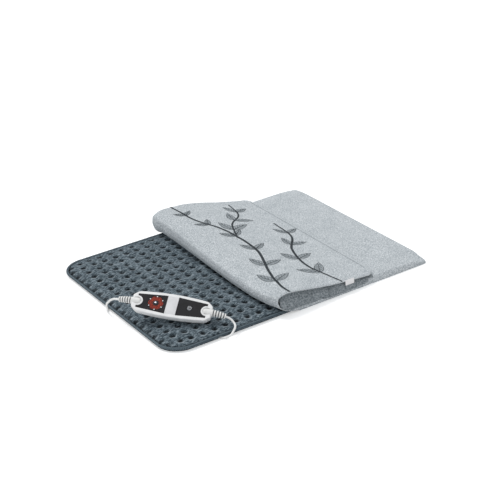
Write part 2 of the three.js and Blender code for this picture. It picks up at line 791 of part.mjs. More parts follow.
const screwPlaces = [[1, 1], [1, -1], [-1, 1], [-1, -1]].map(([a, b]) => [a * screwU, b * screw.v]);
const panelSeat = -body.pocketDepth;
const panelTop = panelSeat + clearance / 2 + panel.thickness;
const roofUnder = -body.roof;
const boardBottom = board.top - board.thickness;
const keyTop = key.rise;
const flangeTop = roofUnder - clearance;
const stemBottom = flangeTop - key.flangeThickness;
const switchTop = stemBottom - key.travel - clearance;

function makeUpperShell() {
  const bevel = body.topRound * (1 - Math.SQRT1_2);
  const outside = loft([
    ringAt(bodyOutline(0), -body.topDepth),
    ringAt(bodyOutline(0), -body.topRound),
    ringAt(bodyOutline(bevel), -bevel),
    ringAt(bodyOutline(body.topRound), 0),
  ]);
  const hollow = prism(bodyOutline(body.wall), -body.topDepth - overrun, roofUnder);
  const postBottom = board.top + clearance;
  const posts = screwPlaces.map(([u, v]) => upright(screw.bossRadius, postBottom, roofUnder + clearance, u, v, 12));
  const pilots = screwPlaces.map(([u, v]) => upright(
    screw.shankRadius + clearance, postBottom - overrun, screw.tipHeight + clearance, u, v, 12,
  ));
  const pockets = [1, -1].map((side) => prism(panelOutline(side, -clearance), panelSeat, overrun));
  const holes = [
    upright(key.levelRadius + clearance, roofUnder - overrun, overrun, ringU),
    upright(key.powerRadius + clearance, roofUnder - overrun, overrun, powerU),
    ...lampPlaces().map(([u, v]) => upright(ring.lampRadius + clearance, roofUnder - overrun, overrun, u, v, 10)),
  ];
  return cut(join(cut(outside, hollow), ...posts), ...pilots, ...pockets, ...holes, bootSpace(1), bootSpace(-1));
}

function makeLowerShell() {
  const hollow = hullLoft(body.wall, hullTop + clearance, body.hullDepth - body.wall + clearance);
  const floor = hullTop - body.hullDepth;
  const bossTop = boardBottom - clearance;
  const bosses = screwPlaces.map(([u, v]) => overlapOf(hullSolid, upright(screw.bossRadius, floor, bossTop, u, v, 12)));
  const bores = screwPlaces.flatMap(([u, v]) => [
    upright(screw.shankRadius + clearance, floor - overrun, hullTop, u, v, 12),
    upright(screw.headRadius + clearance, floor - overrun, screw.seatHeight, u, v, 16),
  ]);
  return cut(join(cut(hullSolid, hollow), ...bosses), ...bores, bootSpace(1), bootSpace(-1));
}

function makeScrew([u, v]) {
  const headTop = screw.seatHeight - clearance;
  return turned([
    [0, headTop - screw.headHeight], [screw.headRadius, headTop - screw.headHeight],
    [screw.headRadius, headTop], [screw.shankRadius, headTop],
    [screw.shankRadius, screw.tipHeight - screw.shankRadius], [0, screw.tipHeight],
  ], 12).translate(u, v, 0);
}

function makeKey(radius, u) {
  return turned([
    [0, stemBottom], [key.flangeRadius, stemBottom], [key.flangeRadius, flangeTop], [radius, flangeTop],
    [radius, keyTop - key.rimRound], [radius - key.rimRound, keyTop], [0, keyTop],
  ]).translate(u, 0, 0);
}

function makeLeftPanel() {
  const plate = prism(panelOutline(-1, 0), panelSeat + clearance / 2, panelTop);
  return cut(plate, upright(ring.radius + clearance, panelSeat - overrun, panelTop + overrun, ringU, 0, 32));
}

function makeRightPanel() {
  const plate = prism(panelOutline(1, 0), panelSeat + clearance / 2, panelTop);
  return cut(plate, upright(key.powerRadius + clearance, panelSeat - overrun, panelTop + overrun, powerU));
}

function lampPlaces() {
  return Array.from({ length: ring.lampCount }, (_, k) => {
    const angle = 2 * Math.PI * (k + 1 / 2) / ring.lampCount;
    return [ringU + ring.lampCircle * Math.cos(angle), ring.lampCircle * Math.sin(angle)];
  });
}

function makeLightRing() {
  const disc = upright(ring.radius, panelSeat + clearance / 2, panelTop, ringU, 0, 32);
  const lampHoles = lampPlaces().map(([u, v]) => upright(
    ring.lampRadius + clearance / 2, panelSeat - overrun, panelTop + overrun, u, v, 12,
  ));
  return cut(disc, upright(key.levelRadius + clearance, panelSeat - overrun, panelTop + overrun, ringU), ...lampHoles);
}

// One light guide: a ring under the roof with a rod up to each lamp
function makeLightGuide() {
  const top = roofUnder - clearance;
  const bottom = top - ring.guideThickness;
  const [inner, outer] = [ring.lampCircle - ring.guideWidth / 2, ring.lampCircle + ring.guideWidth / 2];
  const plate = cut(upright(outer, bottom, top, ringU, 0, 24), upright(inner, bottom - overrun, top + overrun, ringU));
  const rods = lampPlaces().map(([u, v]) => upright(ring.lampRadius, bottom, panelTop + ring.lampRise, u, v, 10));
  return join(plate, ...rods);
}

function makeBoard() {
  const width = 2 * (screw.v + screw.shankRadius + clearance + board.edgeMargin);
  const plate = box(2 * boardHalf, width, boardBottom, board.top);
  const holes = screwPlaces.map(([u, v]) => upright(
    screw.shankRadius + clearance, boardBottom - overrun, board.top + overrun, u, v, 12,
  ));
  return cut(plate, ...holes);
}

// Parts on the board
const onBoard = {
  switchSize: 6,
  fuseRadius: 2.1,
  fuseLength: 15,
  fuseV: 8.6,
  triacLength: 10,
  triacWidth: 4.4,
  triacV: -8.4,
  capacitorLength: 14,
  capacitorWidth: 9,
  capacitorHeight: 3.8,
  terminalLength: 5,
  terminalWidth: 8,
  terminalInset: 1.4,
};

function makeFuse() {
  const fuse = new THREE.CylinderGeometry(onBoard.fuseRadius, onBoard.fuseRadius, onBoard.fuseLength, 12);
  return fuse.rotateZ(Math.PI / 2).translate(0, onBoard.fuseV, board.top + clearance + onBoard.fuseRadius);
}

function makeTerminal(side) {
  const top = roofUnder - ring.guideThickness - 2 * clearance;
  const u = boardHalf - onBoard.terminalInset - onBoard.terminalLength / 2;
  return box(onBoard.terminalLength, onBoard.terminalWidth, board.top + clearance, top, side * u);
}

// Coil of the mains lead: in on the lower layer, up in half a turn, out on the upper one
const coilBase = coil.tieThickness + clearance + lead.radius;
const coilOuterRadius = coil.innerRadius + coil.turnsEachWay * coil.pitch;
const coilY = padWidth / 2 + rimOutside + clearance + lead.radius + coilOuterRadius;
function coilPoint(turn) {
  const climbEnd = coil.turnsEachWay + 1 / 2;
  const climb = THREE.MathUtils.clamp((turn - coil.turnsEachWay) * 2, 0, 1);
  const wound = turn < coil.turnsEachWay ? coil.turnsEachWay - turn : Math.max(turn - climbEnd, 0);
  const radius = coil.innerRadius + wound * coil.pitch;
  const angle = 2 * Math.PI * turn - Math.PI / 2;
  const height = coilBase + coil.layerRise * climb;
  return new THREE.Vector3(coil.x + radius * Math.cos(angle), coilY + radius * Math.sin(angle), height);
}

const coilTurns = 2 * coil.turnsEachWay + 1 / 2;
const coilPoints = [];
for (let k = 0; k <= coilTurns * coil.stepsPerTurn; k++) coilPoints.push(coilPoint(k / coil.stepsPerTurn));
const straightStep = new THREE.Vector3(2 * lead.radius, 0, 0);
coilPoints.unshift(coilPoints[0].clone().sub(straightStep));
coilPoints.push(coilPoints[coilPoints.length - 1].clone().add(straightStep));

// Least gap between turns, measured between points that lie over half a turn apart
function leastGap(points, diameter) {
  let least = Infinity;
  points.forEach((p, k) => {
    for (let other = k + coil.stepsPerTurn / 2; other + 1 < points.length; other++) {
      const line = new THREE.Line3(points[other], points[other + 1]);
      least = Math.min(least, line.closestPointToPoint(p, true, new THREE.Vector3()).distanceTo(p));
    }
  });
  return least - diameter;
}
console.log(`coil of the mains lead: least gap to itself ${leastGap(coilPoints, 2 * lead.radius).toFixed(2)} mm`);

function makeTie() {
  const inner = Math.sqrt(coil.innerRadius ** 2 - (coil.tieWidth / 2) ** 2) - lead.radius - clearance;
  const outer = coilOuterRadius + lead.radius + clearance;
  const [bottom, top] = [coil.tieThickness, coilBase + coil.layerRise + lead.radius + clearance];
  const block = box(outer - inner + 2 * coil.tieThickness, coil.tieWidth, 0, top + coil.tieThickness, (inner + outer) / 2);
  const space = box(outer - inner, coil.tieWidth + overrun, bottom, top, (inner + outer) / 2);
  const band = cut(block, space);
  return band.rotateZ(Math.PI).translate(coil.x, coilY, 0);
}

// Plug: a flat two-pin plug lying on its side, its boot towards the coil
const plugY = padWidth / 2 + rimOutside + clearance + plug.width / 2;
const plugZ = plug.thickness / 2;
const plugBack = plug.bootTipX + plug.bootLength;
function plugRing(share, widthShare, thicknessShare) {
  const outline = roundedOutline(plug.width / 2 * widthShare, plugZ * thicknessShare, plug.round * thicknessShare, 3);
  return outline.map((p) => new THREE.Vector3(p.x, p.y, plug.length * share));
}

function makePlugBody() {
  const frontShare = plug.frontWidth / plug.width;
  const rings = [
    plugRing(0, 0.5, 0.8), plugRing(0.16, 0.86, 1), plugRing(0.32, 1, 1), plugRing(0.5, 0.96, 1),
    plugRing(0.62, frontShare, 1), plugRing(1, frontShare, 1),
  ];
  const geometry = loft(rings);
  return geometry.rotateZ(Math.PI / 2).rotateY(Math.PI / 2).translate(plugBack, plugY, plugZ);
}

function makePin(side) {
  const front = plugBack + plug.length + clearance;
  return turned([
    [0, 0], [plug.pinRadius, 0], [plug.pinRadius, plug.pinLength - plug.pinRadius / 2],
    [plug.pinRadius / 2, plug.pinLength], [0, plug.pinLength],
  ], 12).rotateY(Math.PI / 2).translate(front, plugY + side * plug.pinSpacing / 2, plugZ);
}

function makePlugBoot() {
  return turned([
    [0, 0], [lead.radius + clearance, 0], [plug.bootRadius, plug.bootLength - clearance], [0, plug.bootLength - clearance],
  ], 12).rotateY(Math.PI / 2).translate(plug.bootTipX, plugY, plugZ);
}

// Heating wire: level runs joined by half circles
function makeWire() {
  const reach = padLength / 2 - heating.edgeDistance - heating.wireMargin - heating.wirePitch / 2;
  const span = padWidth - 2 * (heating.edgeDistance + heating.wireMargin);
  const runs = Math.floor(span / heating.wirePitch) + 1;
  const height = quiltBottom + heating.carrierThickness + clearance + heating.wireRadius;
  const turnRadius = heating.wirePitch / 2;
  const bendSteps = 6;
  const points = [];
  for (let run = 0; run < runs; run++) {
    const y = (run - (runs - 1) / 2) * heating.wirePitch;
    const side = run % 2 ? -1 : 1;
    points.push(new THREE.Vector3(-side * reach, y, height), new THREE.Vector3(side * reach, y, height));
    for (let k = 1; k < bendSteps && run + 1 < runs; k++) {
      const angle = Math.PI * k / bendSteps;
      const bendX = side * (reach + turnRadius * Math.sin(angle));
      points.push(new THREE.Vector3(bendX, y + turnRadius * (1 - Math.cos(angle)), height));
    }
  }
  return tubeAlong(points, 6, heating.wireRadius);
}

// Leads
const padRoute = smoothRoute(leadExit(-1), leadDirection(-1), padLeadPlaces);
const mainsEnd = coilPoints[0].clone().add(new THREE.Vector3(-clearance, 0, 0));
const mainsRoute = smoothRoute(leadExit(1), leadDirection(1), [
  ...mainsLeadPlaces,
  mainsEnd.clone().sub(straightStep).toArray(),
  mainsEnd.toArray(),
]);
const tailStart = coilPoints[coilPoints.length - 1].clone().add(new THREE.Vector3(clearance, 0, 0));
const tailEnd = new THREE.Vector3(plug.bootTipX - clearance, plugY, plugZ);
const tailRoute = new THREE.CatmullRomCurve3([
  tailStart,
  tailStart.clone().add(straightStep),
  tailEnd.clone().sub(straightStep),
  tailEnd,
], false, 'centripetal');

// Inlet where the pad lead ends, moulded into the backing
const inlet = {
  noseWidth: 6,
  noseLength: 8,
  length: 22,
  width: 13,
  height: 4,
};
const inletTip = new THREE.Vector3(...padLeadPlaces[padLeadPlaces.length - 1]).add(new THREE.Vector3(clearance, 0, 0));
function inletOutline(grow) {
  const shoulder = inletTip.x + inlet.noseLength;
  const end = inletTip.x + inlet.noseLength + inlet.length + grow;
  const [nose, wide] = [inlet.noseWidth / 2 + grow, inlet.width / 2 + grow];
  return [
    [inletTip.x, -nose], [shoulder, -wide], [end, -wide], [end, wide], [shoulder, wide], [inletTip.x, nose],
  ].map(([x, y]) => new THREE.Vector2(x, inletTip.y + y));
}

// Only the level stretch of a lead, where the backing lies over it
function levelStretch(route, endReach) {
  const points = routePoints(route);
  const first = points.findIndex((p) => p.z < onTable + clearance / 2);
  const last = points.findLastIndex((p) => p.z < onTable + clearance / 2);
  const level = points.slice(first, last + 1);
  const start = level[0].clone().sub(level[1]).setLength(endReach).add(level[0]);
  const end = level[level.length - 1].clone().sub(level[level.length - 2]).setLength(endReach);
  return [start, ...level, end.add(level[level.length - 1])];
}

// Pad
addPart('pad_quilt', makeQuilt(), 0x55616a, 0.95);
const grooves = [levelStretch(padRoute, 2 * lead.radius), levelStretch(mainsRoute, 4 * lead.radius)];
addPart('pad_backing', makeBacking(grooves, inletOutline(clearance)), 0x4b565e, 0.95);
addPart('pad_piping', makePiping(), 0x39434a, 0.85);
const carrierX = padLength - 2 * (heating.edgeDistance + clearance);
const carrierY = padWidth - 2 * (heating.edgeDistance + clearance);
const carrierTop = quiltBottom + heating.carrierThickness;
addPart('heating_carrier', box(carrierX, carrierY, quiltBottom, carrierTop), 0xd9d7cf, 0.9);
addPart('heating_wire', makeWire(), 0xb5462e, 0.6);
const sensorBottom = carrierTop + clearance;
const sensor = box(
  heating.sensorLength, heating.sensorWidth, sensorBottom, sensorBottom + heating.sensorHeight, 0, heating.sensorY,
);
addPart('temperature_sensor', sensor, 0x2e2f31, 0.5);
addPart('pad_inlet', prism(inletOutline(0), 0, inlet.height), 0xe4e4e0, 0.5);

// Cover
const coverGrid = makeCoverGrid();
const coverNormals = gridNormals(coverGrid);
addPart('cover_upper_sheet', clothBetween(coverGrid, coverNormals, 0, cover.thickness), 0xb9bfc3, 0.95);
const underOutline = roundedOutline(coverHalfX + cover.thickness, coverHalfY + cover.thickness, cover.cornerRadius, 6)
  .map((p) => new THREE.Vector2(Math.max(p.x, cover.underStartX), p.y));
const underCorners = underOutline.filter((p, k) => k === 0 || p.distanceTo(underOutline[k - 1]) > clearance);
addPart('cover_under_sheet', prism(underCorners, 0, cover.underThickness), 0xb2b8bc, 0.95);
const liningStart = coverGrid.findIndex((row) => row[0].x < cover.flapEndX);
const liningRows = [liningStart, coverGrid.length - 2];
const trim = (grid) => grid.slice(liningRows[0], liningRows[1] + 1).map((row) => row.slice(2, -2));
const liningNear = cover.thickness + clearance;
const lining = clothBetween(trim(coverGrid), trim(coverNormals), liningNear, liningNear + cover.liningThickness);
addPart('cover_lining', lining, 0x8d9296, 0.95);

// Plush gussets close the fold's two mouths
const lastRow = coverGrid[0].length - 1;
addPart('cover_gusset_front', makeGusset([2, 3], -1), 0x8d9296, 0.95);
addPart('cover_gusset_back', makeGusset([lastRow - 2, lastRow - 3], 1), 0x8d9296, 0.95);

// The label tab hangs from the flap's front edge
const flapRows = coverGrid.slice(-Math.floor(coverGrid.length / 3));
const tabEdge = flapRows.find((row) => row[0].x > cover.tabX)[0];
const tabY = tabEdge.y - clearance - cover.tabThickness / 2;
addPart('cover_label_tab', box(cover.tabLength, cover.tabThickness, tabEdge.z - cover.tabDrop, tabEdge.z, cover.tabX, tabY), 0xf1f0ee, 0.8);

// Controller
addPart('controller_upper_shell', makeUpperShell(), 0xe9e9e7, 0.3, controller);
addPart('controller_lower_shell', makeLowerShell(), 0xe4e4e2, 0.3, controller);
addPart('left_panel', makeLeftPanel(), 0x26272b, 0.3, controller);
addPart('right_panel', makeRightPanel(), 0x26272b, 0.3, controller);
addPart('light_ring', makeLightRing(), 0xa8392c, 0.35, controller);
addPart('light_guide', makeLightGuide(), 0xf2f3f5, 0.3, controller);
addPart('level_button', makeKey(key.levelRadius, ringU), 0xc8cbd0, 0.25, controller);
addPart('power_button', makeKey(key.powerRadius, powerU), 0x2c2d31, 0.35, controller);
addPart('circuit_board', makeBoard(), 0x2f6b45, 0.6, controller);
const switchAt = (u) => box(onBoard.switchSize, onBoard.switchSize, board.top + clearance, switchTop, u);
addPart('level_switch', switchAt(ringU), 0x1f2022, 0.5, controller);
addPart('power_switch', switchAt(powerU), 0x1f2022, 0.5, controller);
addPart('board_fuse', makeFuse(), 0xcfd2d0, 0.3, controller);
const triacTop = roofUnder - clearance;
const triac = box(onBoard.triacLength, onBoard.triacWidth, board.top + clearance, triacTop, 0, onBoard.triacV);
addPart('board_triac', triac, 0x232427, 0.5, controller);
const capacitorTop = boardBottom - clearance;
const capacitor = box(
  onBoard.capacitorLength, onBoard.capacitorWidth, capacitorTop - onBoard.capacitorHeight, capacitorTop,
);
addPart('board_capacitor', capacitor, 0xb98a3a, 0.6, controller);
addPart('left_terminal', makeTerminal(-1), 0x3f7d58, 0.5, controller);
addPart('right_terminal', makeTerminal(1), 0x3f7d58, 0.5, controller);
screwPlaces.forEach((place, k) => addPart(`housing_screw_${k + 1}`, makeScrew(place), 0xa9adb0, 0.4, controller, 0.9));
addPart('left_boot', makeBoot(-1), 0xe9e9e7, 0.4, controller);
addPart('right_boot', makeBoot(1), 0xe9e9e7, 0.4, controller);

// Leads
const whiteLead = 0xe9e9e9;
addPart('pad_lead', tubeAlong(routePoints(padRoute), lead.sides), whiteLead, 0.45);
addPart('mains_lead', tubeAlong(routePoints(mainsRoute), lead.sides), whiteLead, 0.45);
addPart('mains_lead_coil', tubeAlong(coilPoints, coil.sides), whiteLead, 0.45);
addPart('mains_lead_tail', tubeAlong(routePoints(tailRoute), lead.sides), whiteLead, 0.45);
addPart('coil_tie', makeTie(), 0x3a3b3d, 0.6);
addPart('plug_body', makePlugBody(), 0xe9e9e9, 0.45);
addPart('plug_boot', makePlugBoot(), 0xe9e9e9, 0.5);
addPart('plug_pin_front', makePin(-1), 0xb9bcc0, 0.3, padGroup, 1);
addPart('plug_pin_back', makePin(1), 0xb9bcc0, 0.3, padGroup, 1);
const lengthOf = (route) => route.getLength().toFixed(0);
console.log(`pad lead ${lengthOf(padRoute)} mm, mains lead ${lengthOf(mainsRoute)} + tail ${lengthOf(tailRoute)} mm`);
console.log(`coil ${lengthOf(new THREE.CatmullRomCurve3(coilPoints))} mm`);

// The origin lies under the middle of everything but the leads, coil and plug
object.updateMatrixWorld(true);
const core = new THREE.Box3();
object.traverse((mesh) => {
  if (mesh.isMesh && !/lead|coil|plug/.test(mesh.name)) core.expandByObject(mesh, true);
});
const middle = core.getCenter(new THREE.Vector3());
padGroup.position.set(-middle.x, -middle.y, 0);

export default object;
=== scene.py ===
# Heating pad with a hand controller, its cover turned back. Metres, +Z up, in the CAD's own frame.
from math import atan, atan2, cos, dist, pi, radians, sin
import bmesh
import bpy
import numpy as np
from mathutils import Matrix, Vector


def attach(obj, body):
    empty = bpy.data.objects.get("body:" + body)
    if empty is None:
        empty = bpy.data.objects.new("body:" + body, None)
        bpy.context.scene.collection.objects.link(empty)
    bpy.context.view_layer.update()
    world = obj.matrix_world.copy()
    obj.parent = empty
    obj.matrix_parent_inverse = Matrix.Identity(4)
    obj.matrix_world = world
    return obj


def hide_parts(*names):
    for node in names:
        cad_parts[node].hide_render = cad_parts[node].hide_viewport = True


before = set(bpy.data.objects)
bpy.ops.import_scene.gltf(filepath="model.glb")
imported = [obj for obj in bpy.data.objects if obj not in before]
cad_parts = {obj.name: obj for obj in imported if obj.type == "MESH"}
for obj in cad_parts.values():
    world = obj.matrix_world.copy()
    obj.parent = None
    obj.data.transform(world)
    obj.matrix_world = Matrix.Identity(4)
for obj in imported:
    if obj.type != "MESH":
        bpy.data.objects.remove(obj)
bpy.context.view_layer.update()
bpy.ops.object.select_all(action="DESELECT")
padMiddle = np.array([0.0007156, 0.0, 0.0])    # the pad's centre, which the left boot shifts off the origin
print("frame loaded:", len(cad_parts), "nodes")

# Camera at the photograph's angle
camera = {
    "place": (-0.9398344, -1.55812, 0.91688),
    "elevation": 26.0728, "azimuth": -31.6697, "roll": -3.7656,
    "lens": 99.2734, "sensor": 36,
}


def addObject(name, data):
    made = bpy.data.objects.new(name, data)
    bpy.context.collection.objects.link(made)
    return made


def makeCamera():
    el, az, roll = (radians(camera[key]) for key in ("elevation", "azimuth", "roll"))
    back = Vector((sin(az) * cos(el), -cos(az) * cos(el), sin(el)))
    right = (-back).cross(Vector((0, 0, 1))).normalized()
    up = right.cross(-back)
    side = right * cos(roll) + up * sin(roll)
    top = up * cos(roll) - right * sin(roll)
    data = bpy.data.cameras.new("photoCamera")
    data.lens, data.sensor_width = camera["lens"], camera["sensor"]
    seen = addObject("photoCamera", data)
    turned = Matrix((side, top, back)).transposed().to_4x4()
    seen.matrix_world = Matrix.Translation(camera["place"]) @ turned
    bpy.context.scene.camera = seen


# Smooth curve through listed points, the same rule as in the CAD: centripetal, ends carried straight on
def curveLegs(points):
    points = np.asarray(points, float)
    ends = np.vstack([2 * points[0] - points[1], points, 2 * points[-1] - points[-2]])
    gaps = np.sqrt(np.maximum(np.linalg.norm(np.diff(ends, axis=0), axis=1), 1e-9))[:, None]
    p0, p1, p2, p3 = ends[:-3], ends[1:-2], ends[2:-1], ends[3:]
    d0, d1, d2 = gaps[:-2], gaps[1:-1], gaps[2:]
    leaving = ((p1 - p0) / d0 - (p2 - p0) / (d0 + d1) + (p2 - p1) / d1) * d1
    arriving = ((p2 - p1) / d1 - (p3 - p1) / (d1 + d2) + (p3 - p2) / d2) * d1
    return p1, p2, leaving, arriving


def curveAt(points, shares):
    p1, p2, leaving, arriving = curveLegs(points)
    place = np.clip(np.asarray(shares, float), 0, 1) * len(p1)
    leg = np.minimum(place.astype(int), len(p1) - 1)
    t = (place - leg)[:, None]
    a, b, u, v = p1[leg], p2[leg], leaving[leg], arriving[leg]
    return a + t * (u + t * (3 * (b - a) - 2 * u - v + t * (2 * (a - b) + u + v)))


# Leads: the routes repeat the CAD's points, in metres from the pad's centre
lead = {
    "radius": 0.0015,
    "padExit": (-0.2197755, -0.0423223, 0.0387862), "padWay": (-0.58556, 0.80187, -0.11888),
    "mainsExit": (-0.1155832, -0.1464706, 0.0195572), "mainsWay": (0.76161, -0.4806, -0.43471),
    "padLength": 0.465, "mainsLength": 1.698,
}
padLeadPlaces = [
    (-0.2243, -0.0344, 0.0375), (-0.227, -0.0291, 0.0344), (-0.228, -0.0238, 0.0296), (-0.2274, -0.0175, 0.0248),
    (-0.2265, -0.0123, 0.0179), (-0.2236, -0.0084, 0.0113), (-0.2218, -0.0035, 0.0053), (-0.2186, 0.0034, 0.0019),
    (-0.2101, 0.0109, 0.0015), (-0.192, 0.015, 0.0015), (-0.161, 0.0165, 0.0015), (-0.1, 0.0175, 0.0015),
    (-0.07, 0.024, 0.0015), (-0.062, 0.04, 0.0015), (-0.07, 0.056, 0.0015), (-0.1, 0.0625, 0.0015),
    (-0.161, 0.0635, 0.0015), (-0.18, 0.07, 0.0015), (-0.186, 0.084, 0.0015), (-0.18, 0.098, 0.0015),
    (-0.161, 0.1045, 0.0015), (-0.141, 0.105, 0.0015), (-0.115, 0.105, 0.0015),
]
mainsLeadPlaces = [
    (-0.1105, -0.151, 0.0159), (-0.1091, -0.1562, 0.0126), (-0.111, -0.1629, 0.0103), (-0.1172, -0.169, 0.009),
    (-0.1235, -0.1713, 0.0052), (-0.1295, -0.1696, 0.0025), (-0.1346, -0.1638, 0.0015), (-0.1353, -0.1528, 0.0015),
    (-0.1291, -0.1433, 0.0015), (-0.12, -0.1325, 0.0015), (-0.105, -0.129, 0.0015), (-0.06, -0.129, 0.0015),
    (-0.046, -0.115, 0.0015), (-0.06, -0.101, 0.0015), (-0.166, -0.101, 0.0015), (-0.176, -0.097, 0.0015),
    (-0.18, -0.087, 0.0015), (-0.176, -0.077, 0.0015), (-0.166, -0.073, 0.0015), (-0.06, -0.073, 0.0015),
    (-0.05, -0.069, 0.0015), (-0.046, -0.059, 0.0015), (-0.05, -0.049, 0.0015), (-0.06, -0.045, 0.0015),
    (-0.166, -0.045, 0.0015), (-0.18, -0.031, 0.0015), (-0.166, -0.017, 0.0015), (-0.072, -0.017, 0.0015),
    (-0.054, -0.011, 0.0015), (-0.045, 0.003, 0.0015), (-0.043, 0.024, 0.0015), (-0.043, 0.12, 0.0015),
    (-0.0424, 0.146, 0.0015), (-0.0385, 0.16, 0.0015), (-0.03, 0.1678, 0.0018), (-0.018, 0.1695, 0.0022),
]
coil = {
    "centre": (-0.0015, 0.19345), "height": 0.0026, "innerRadius": 0.0136, "pitch": 0.0038,
    "turnsEachWay": 2.75, "pointsPerTurn": 20, "straight": 0.003, "leadIn": 0.0063,
    "tailEnd": (0.0301, 0.18555, 0.00685),
}


def coilPoint(turn):
    half = coil["turnsEachWay"]
    climb = min(max((turn - half) * 2, 0), 1)
    wound = half - turn if turn < half else max(turn - half - 0.5, 0)
    radius = coil["innerRadius"] + coil["pitch"] * wound
    angle = 2 * pi * turn - pi / 2
    x = coil["centre"][0] + radius * cos(angle)
    y = coil["centre"][1] + radius * sin(angle)
    return (x, y, coil["height"] + coil["pitch"] * climb)


def coilPlaces():
    turns = 2 * coil["turnsEachWay"] + 0.5
    count = int(turns * coil["pointsPerTurn"])
    wound = [coilPoint(turns * k / count) for k in range(count + 1)]
    first, last, step = wound[0], wound[-1], coil["straight"]
    before = [(first[0] - coil["leadIn"], first[1], first[2]), (first[0] - step, first[1], first[2])]
    after = [(last[0] + step, last[1], last[2]), coil["tailEnd"]]
    return before + wound + after


def leadCurve(name, exitPlace, way, places):
    start = np.array(exitPlace)
    straight = start + 2 * lead["radius"] * np.array(way)
    points = np.vstack([start, straight, places]) + padMiddle
    _, _, leaving, arriving = curveLegs(points)
    data = bpy.data.curves.new(name, "CURVE")
    data.dimensions = "3D"
    data.bevel_depth, data.bevel_resolution = lead["radius"], 5
    data.resolution_u = 6
    data.use_fill_caps = True
    spline = data.splines.new("BEZIER")
    spline.bezier_points.add(len(points) - 1)
    for k, knot in enumerate(spline.bezier_points):
        knot.handle_left_type = knot.handle_right_type = "FREE"
        knot.co = points[k]
        back = arriving[k - 1] if k else leaving[0]
        ahead = leaving[k] if k < len(leaving) else arriving[-1]
        knot.handle_left = points[k] - back / 3
        knot.handle_right = points[k] + ahead / 3
        for handle in (knot.handle_left, knot.handle_right):
            handle.z = max(handle.z, lead["radius"])
    return addObject(name, data), start + padMiddle


# Materials: one function turns a hex colour to linear, one adds a node
def linear(hexColour):
    parts = [int(hexColour[k:k + 2], 16) / 255 for k in (1, 3, 5)]
    return tuple(p / 12.92 if p <= 0.04045 else ((p + 0.055) / 1.055) ** 2.4 for p in parts) + (1.0,)


def fill(tree, node, inputs):
    for key, value in inputs.items():
        if isinstance(value, bpy.types.NodeSocket):
            tree.links.new(value, node.inputs[key])
        else:
            node.inputs[key].default_value = value


def addNode(tree, kind, inputs=None, **settings):
    node = tree.nodes.new("ShaderNode" + kind)
    for key, value in settings.items():
        setattr(node, key, value)
    fill(tree, node, inputs or {})
    return node


def compute(tree, operation, *values, **settings):
    return addNode(tree, "Math", dict(enumerate(values)), operation=operation, **settings).outputs[0]


def noise(tree, place, scale, detail=2, **more):
    return addNode(tree, "TexNoise", {"Vector": place, "Scale": scale, "Detail": detail, **more}).outputs["Fac"]


def mapTo(tree, value, low, high):
    return addNode(tree, "MapRange", {"Value": value, "To Min": low, "To Max": high}).outputs["Result"]


def bump(tree, height, strength, distance, **more):
    inputs = {"Height": height, "Strength": strength, "Distance": distance, **more}
    return addNode(tree, "Bump", inputs).outputs["Normal"]


def mixColours(tree, share, first, second):
    inputs = {"Factor": share, "A": first, "B": linear(second)}
    return addNode(tree, "Mix", inputs, data_type="RGBA").outputs["Result"]


# A measure that the mesh carries, such as how deep a point lies in a pit or groove; the materials paint shade and
# highlights by it
def measure(tree, name):
    return addNode(tree, "Attribute", attribute_name=name).outputs["Fac"]


def colourSteps(tree, factor, steps):
    ramp = addNode(tree, "ValToRGB", {"Fac": factor})
    elements = ramp.color_ramp.elements
    while len(elements) < len(steps):
        elements.new(0.5)
    for element, (place, colour) in zip(elements, steps):
        element.position = place
        element.color = linear(colour)
    return ramp.outputs["Color"]


def newMaterial(name):
    material = bpy.data.materials.new(name)
    material.use_nodes = True
    tree = material.node_tree
    tree.nodes.clear()
    shader = addNode(tree, "BsdfPrincipled")
    addNode(tree, "OutputMaterial", {"Surface": shader.outputs["BSDF"]})
    return material, tree, shader, addNode(tree, "TexCoord").outputs["Object"]


# Pile cloths, seen as short fibres: tufts of pile that catch or lose the light, a finer grain of fibre ends,
# and sheen. Lean combs the pile. On the quilt a near-black colour darkens each tufted pit, partly the welded
# pile's own dark and partly painted shade, and a painted highlight lightens each pit's front rim.
pile = {
    # pale colour and share of the painted highlight on each quilt pit's front rim
    "tuftShare": 0.72, "fibreShare": 0.18, "broadShare": 0.1, "broadSize": 14, "lipHighlightColour": "#c3ccd1", "lipHighlightShare": 0.5,
    "roughness": (0.82, 1.0), "tuftBump": 0.8, "fibreBump": 0.45,
}


def pileCloth(name, shades, tuftSize, fibreSize, depth, sheen, lean=(1, 1, 1), spread=0.09, pitWeldAndShade=None):
    material, tree, shader, place = newMaterial(name)
    combed = addNode(tree, "Mapping", {"Vector": place, "Scale": lean}).outputs["Vector"]
    tufts = noise(tree, combed, 1 / tuftSize, Roughness=0.55)
    fibres = noise(tree, combed, 1 / fibreSize, Roughness=0.7)
    broad = noise(tree, place, 1 / (tuftSize * pile["broadSize"]))
    level = compute(tree, "MULTIPLY", tufts, pile["tuftShare"])
    level = compute(tree, "MULTIPLY_ADD", fibres, pile["fibreShare"], level)
    level = compute(tree, "MULTIPLY_ADD", broad, pile["broadShare"], level)
    colour = colourSteps(tree, level, list(zip((0.5 - spread, 0.5, 0.5 + spread), shades)))
    # painted light on the quilt: the pit measure mixes in painted shade, and where it is negative a painted highlight
    if pitWeldAndShade:
        pit = measure(tree, "pit")
        lipHighlight = compute(tree, "MULTIPLY", pit, -pile["lipHighlightShare"], use_clamp=True)
        colour = mixColours(tree, lipHighlight, mixColours(tree, pit, colour, pitWeldAndShade), pile["lipHighlightColour"])
    coarse = bump(tree, tufts, pile["tuftBump"], depth)
    fill(tree, shader, {
        "Base Color": colour, "Roughness": mapTo(tree, fibres, *pile["roughness"]),
        "Normal": bump(tree, fibres, pile["fibreBump"], depth / 3, Normal=coarse),
        "Sheen Weight": sheen, "Sheen Roughness": 0.5, "Sheen Tint": linear(shades[2]), "Specular IOR Level": 0.15,
    })
    return material


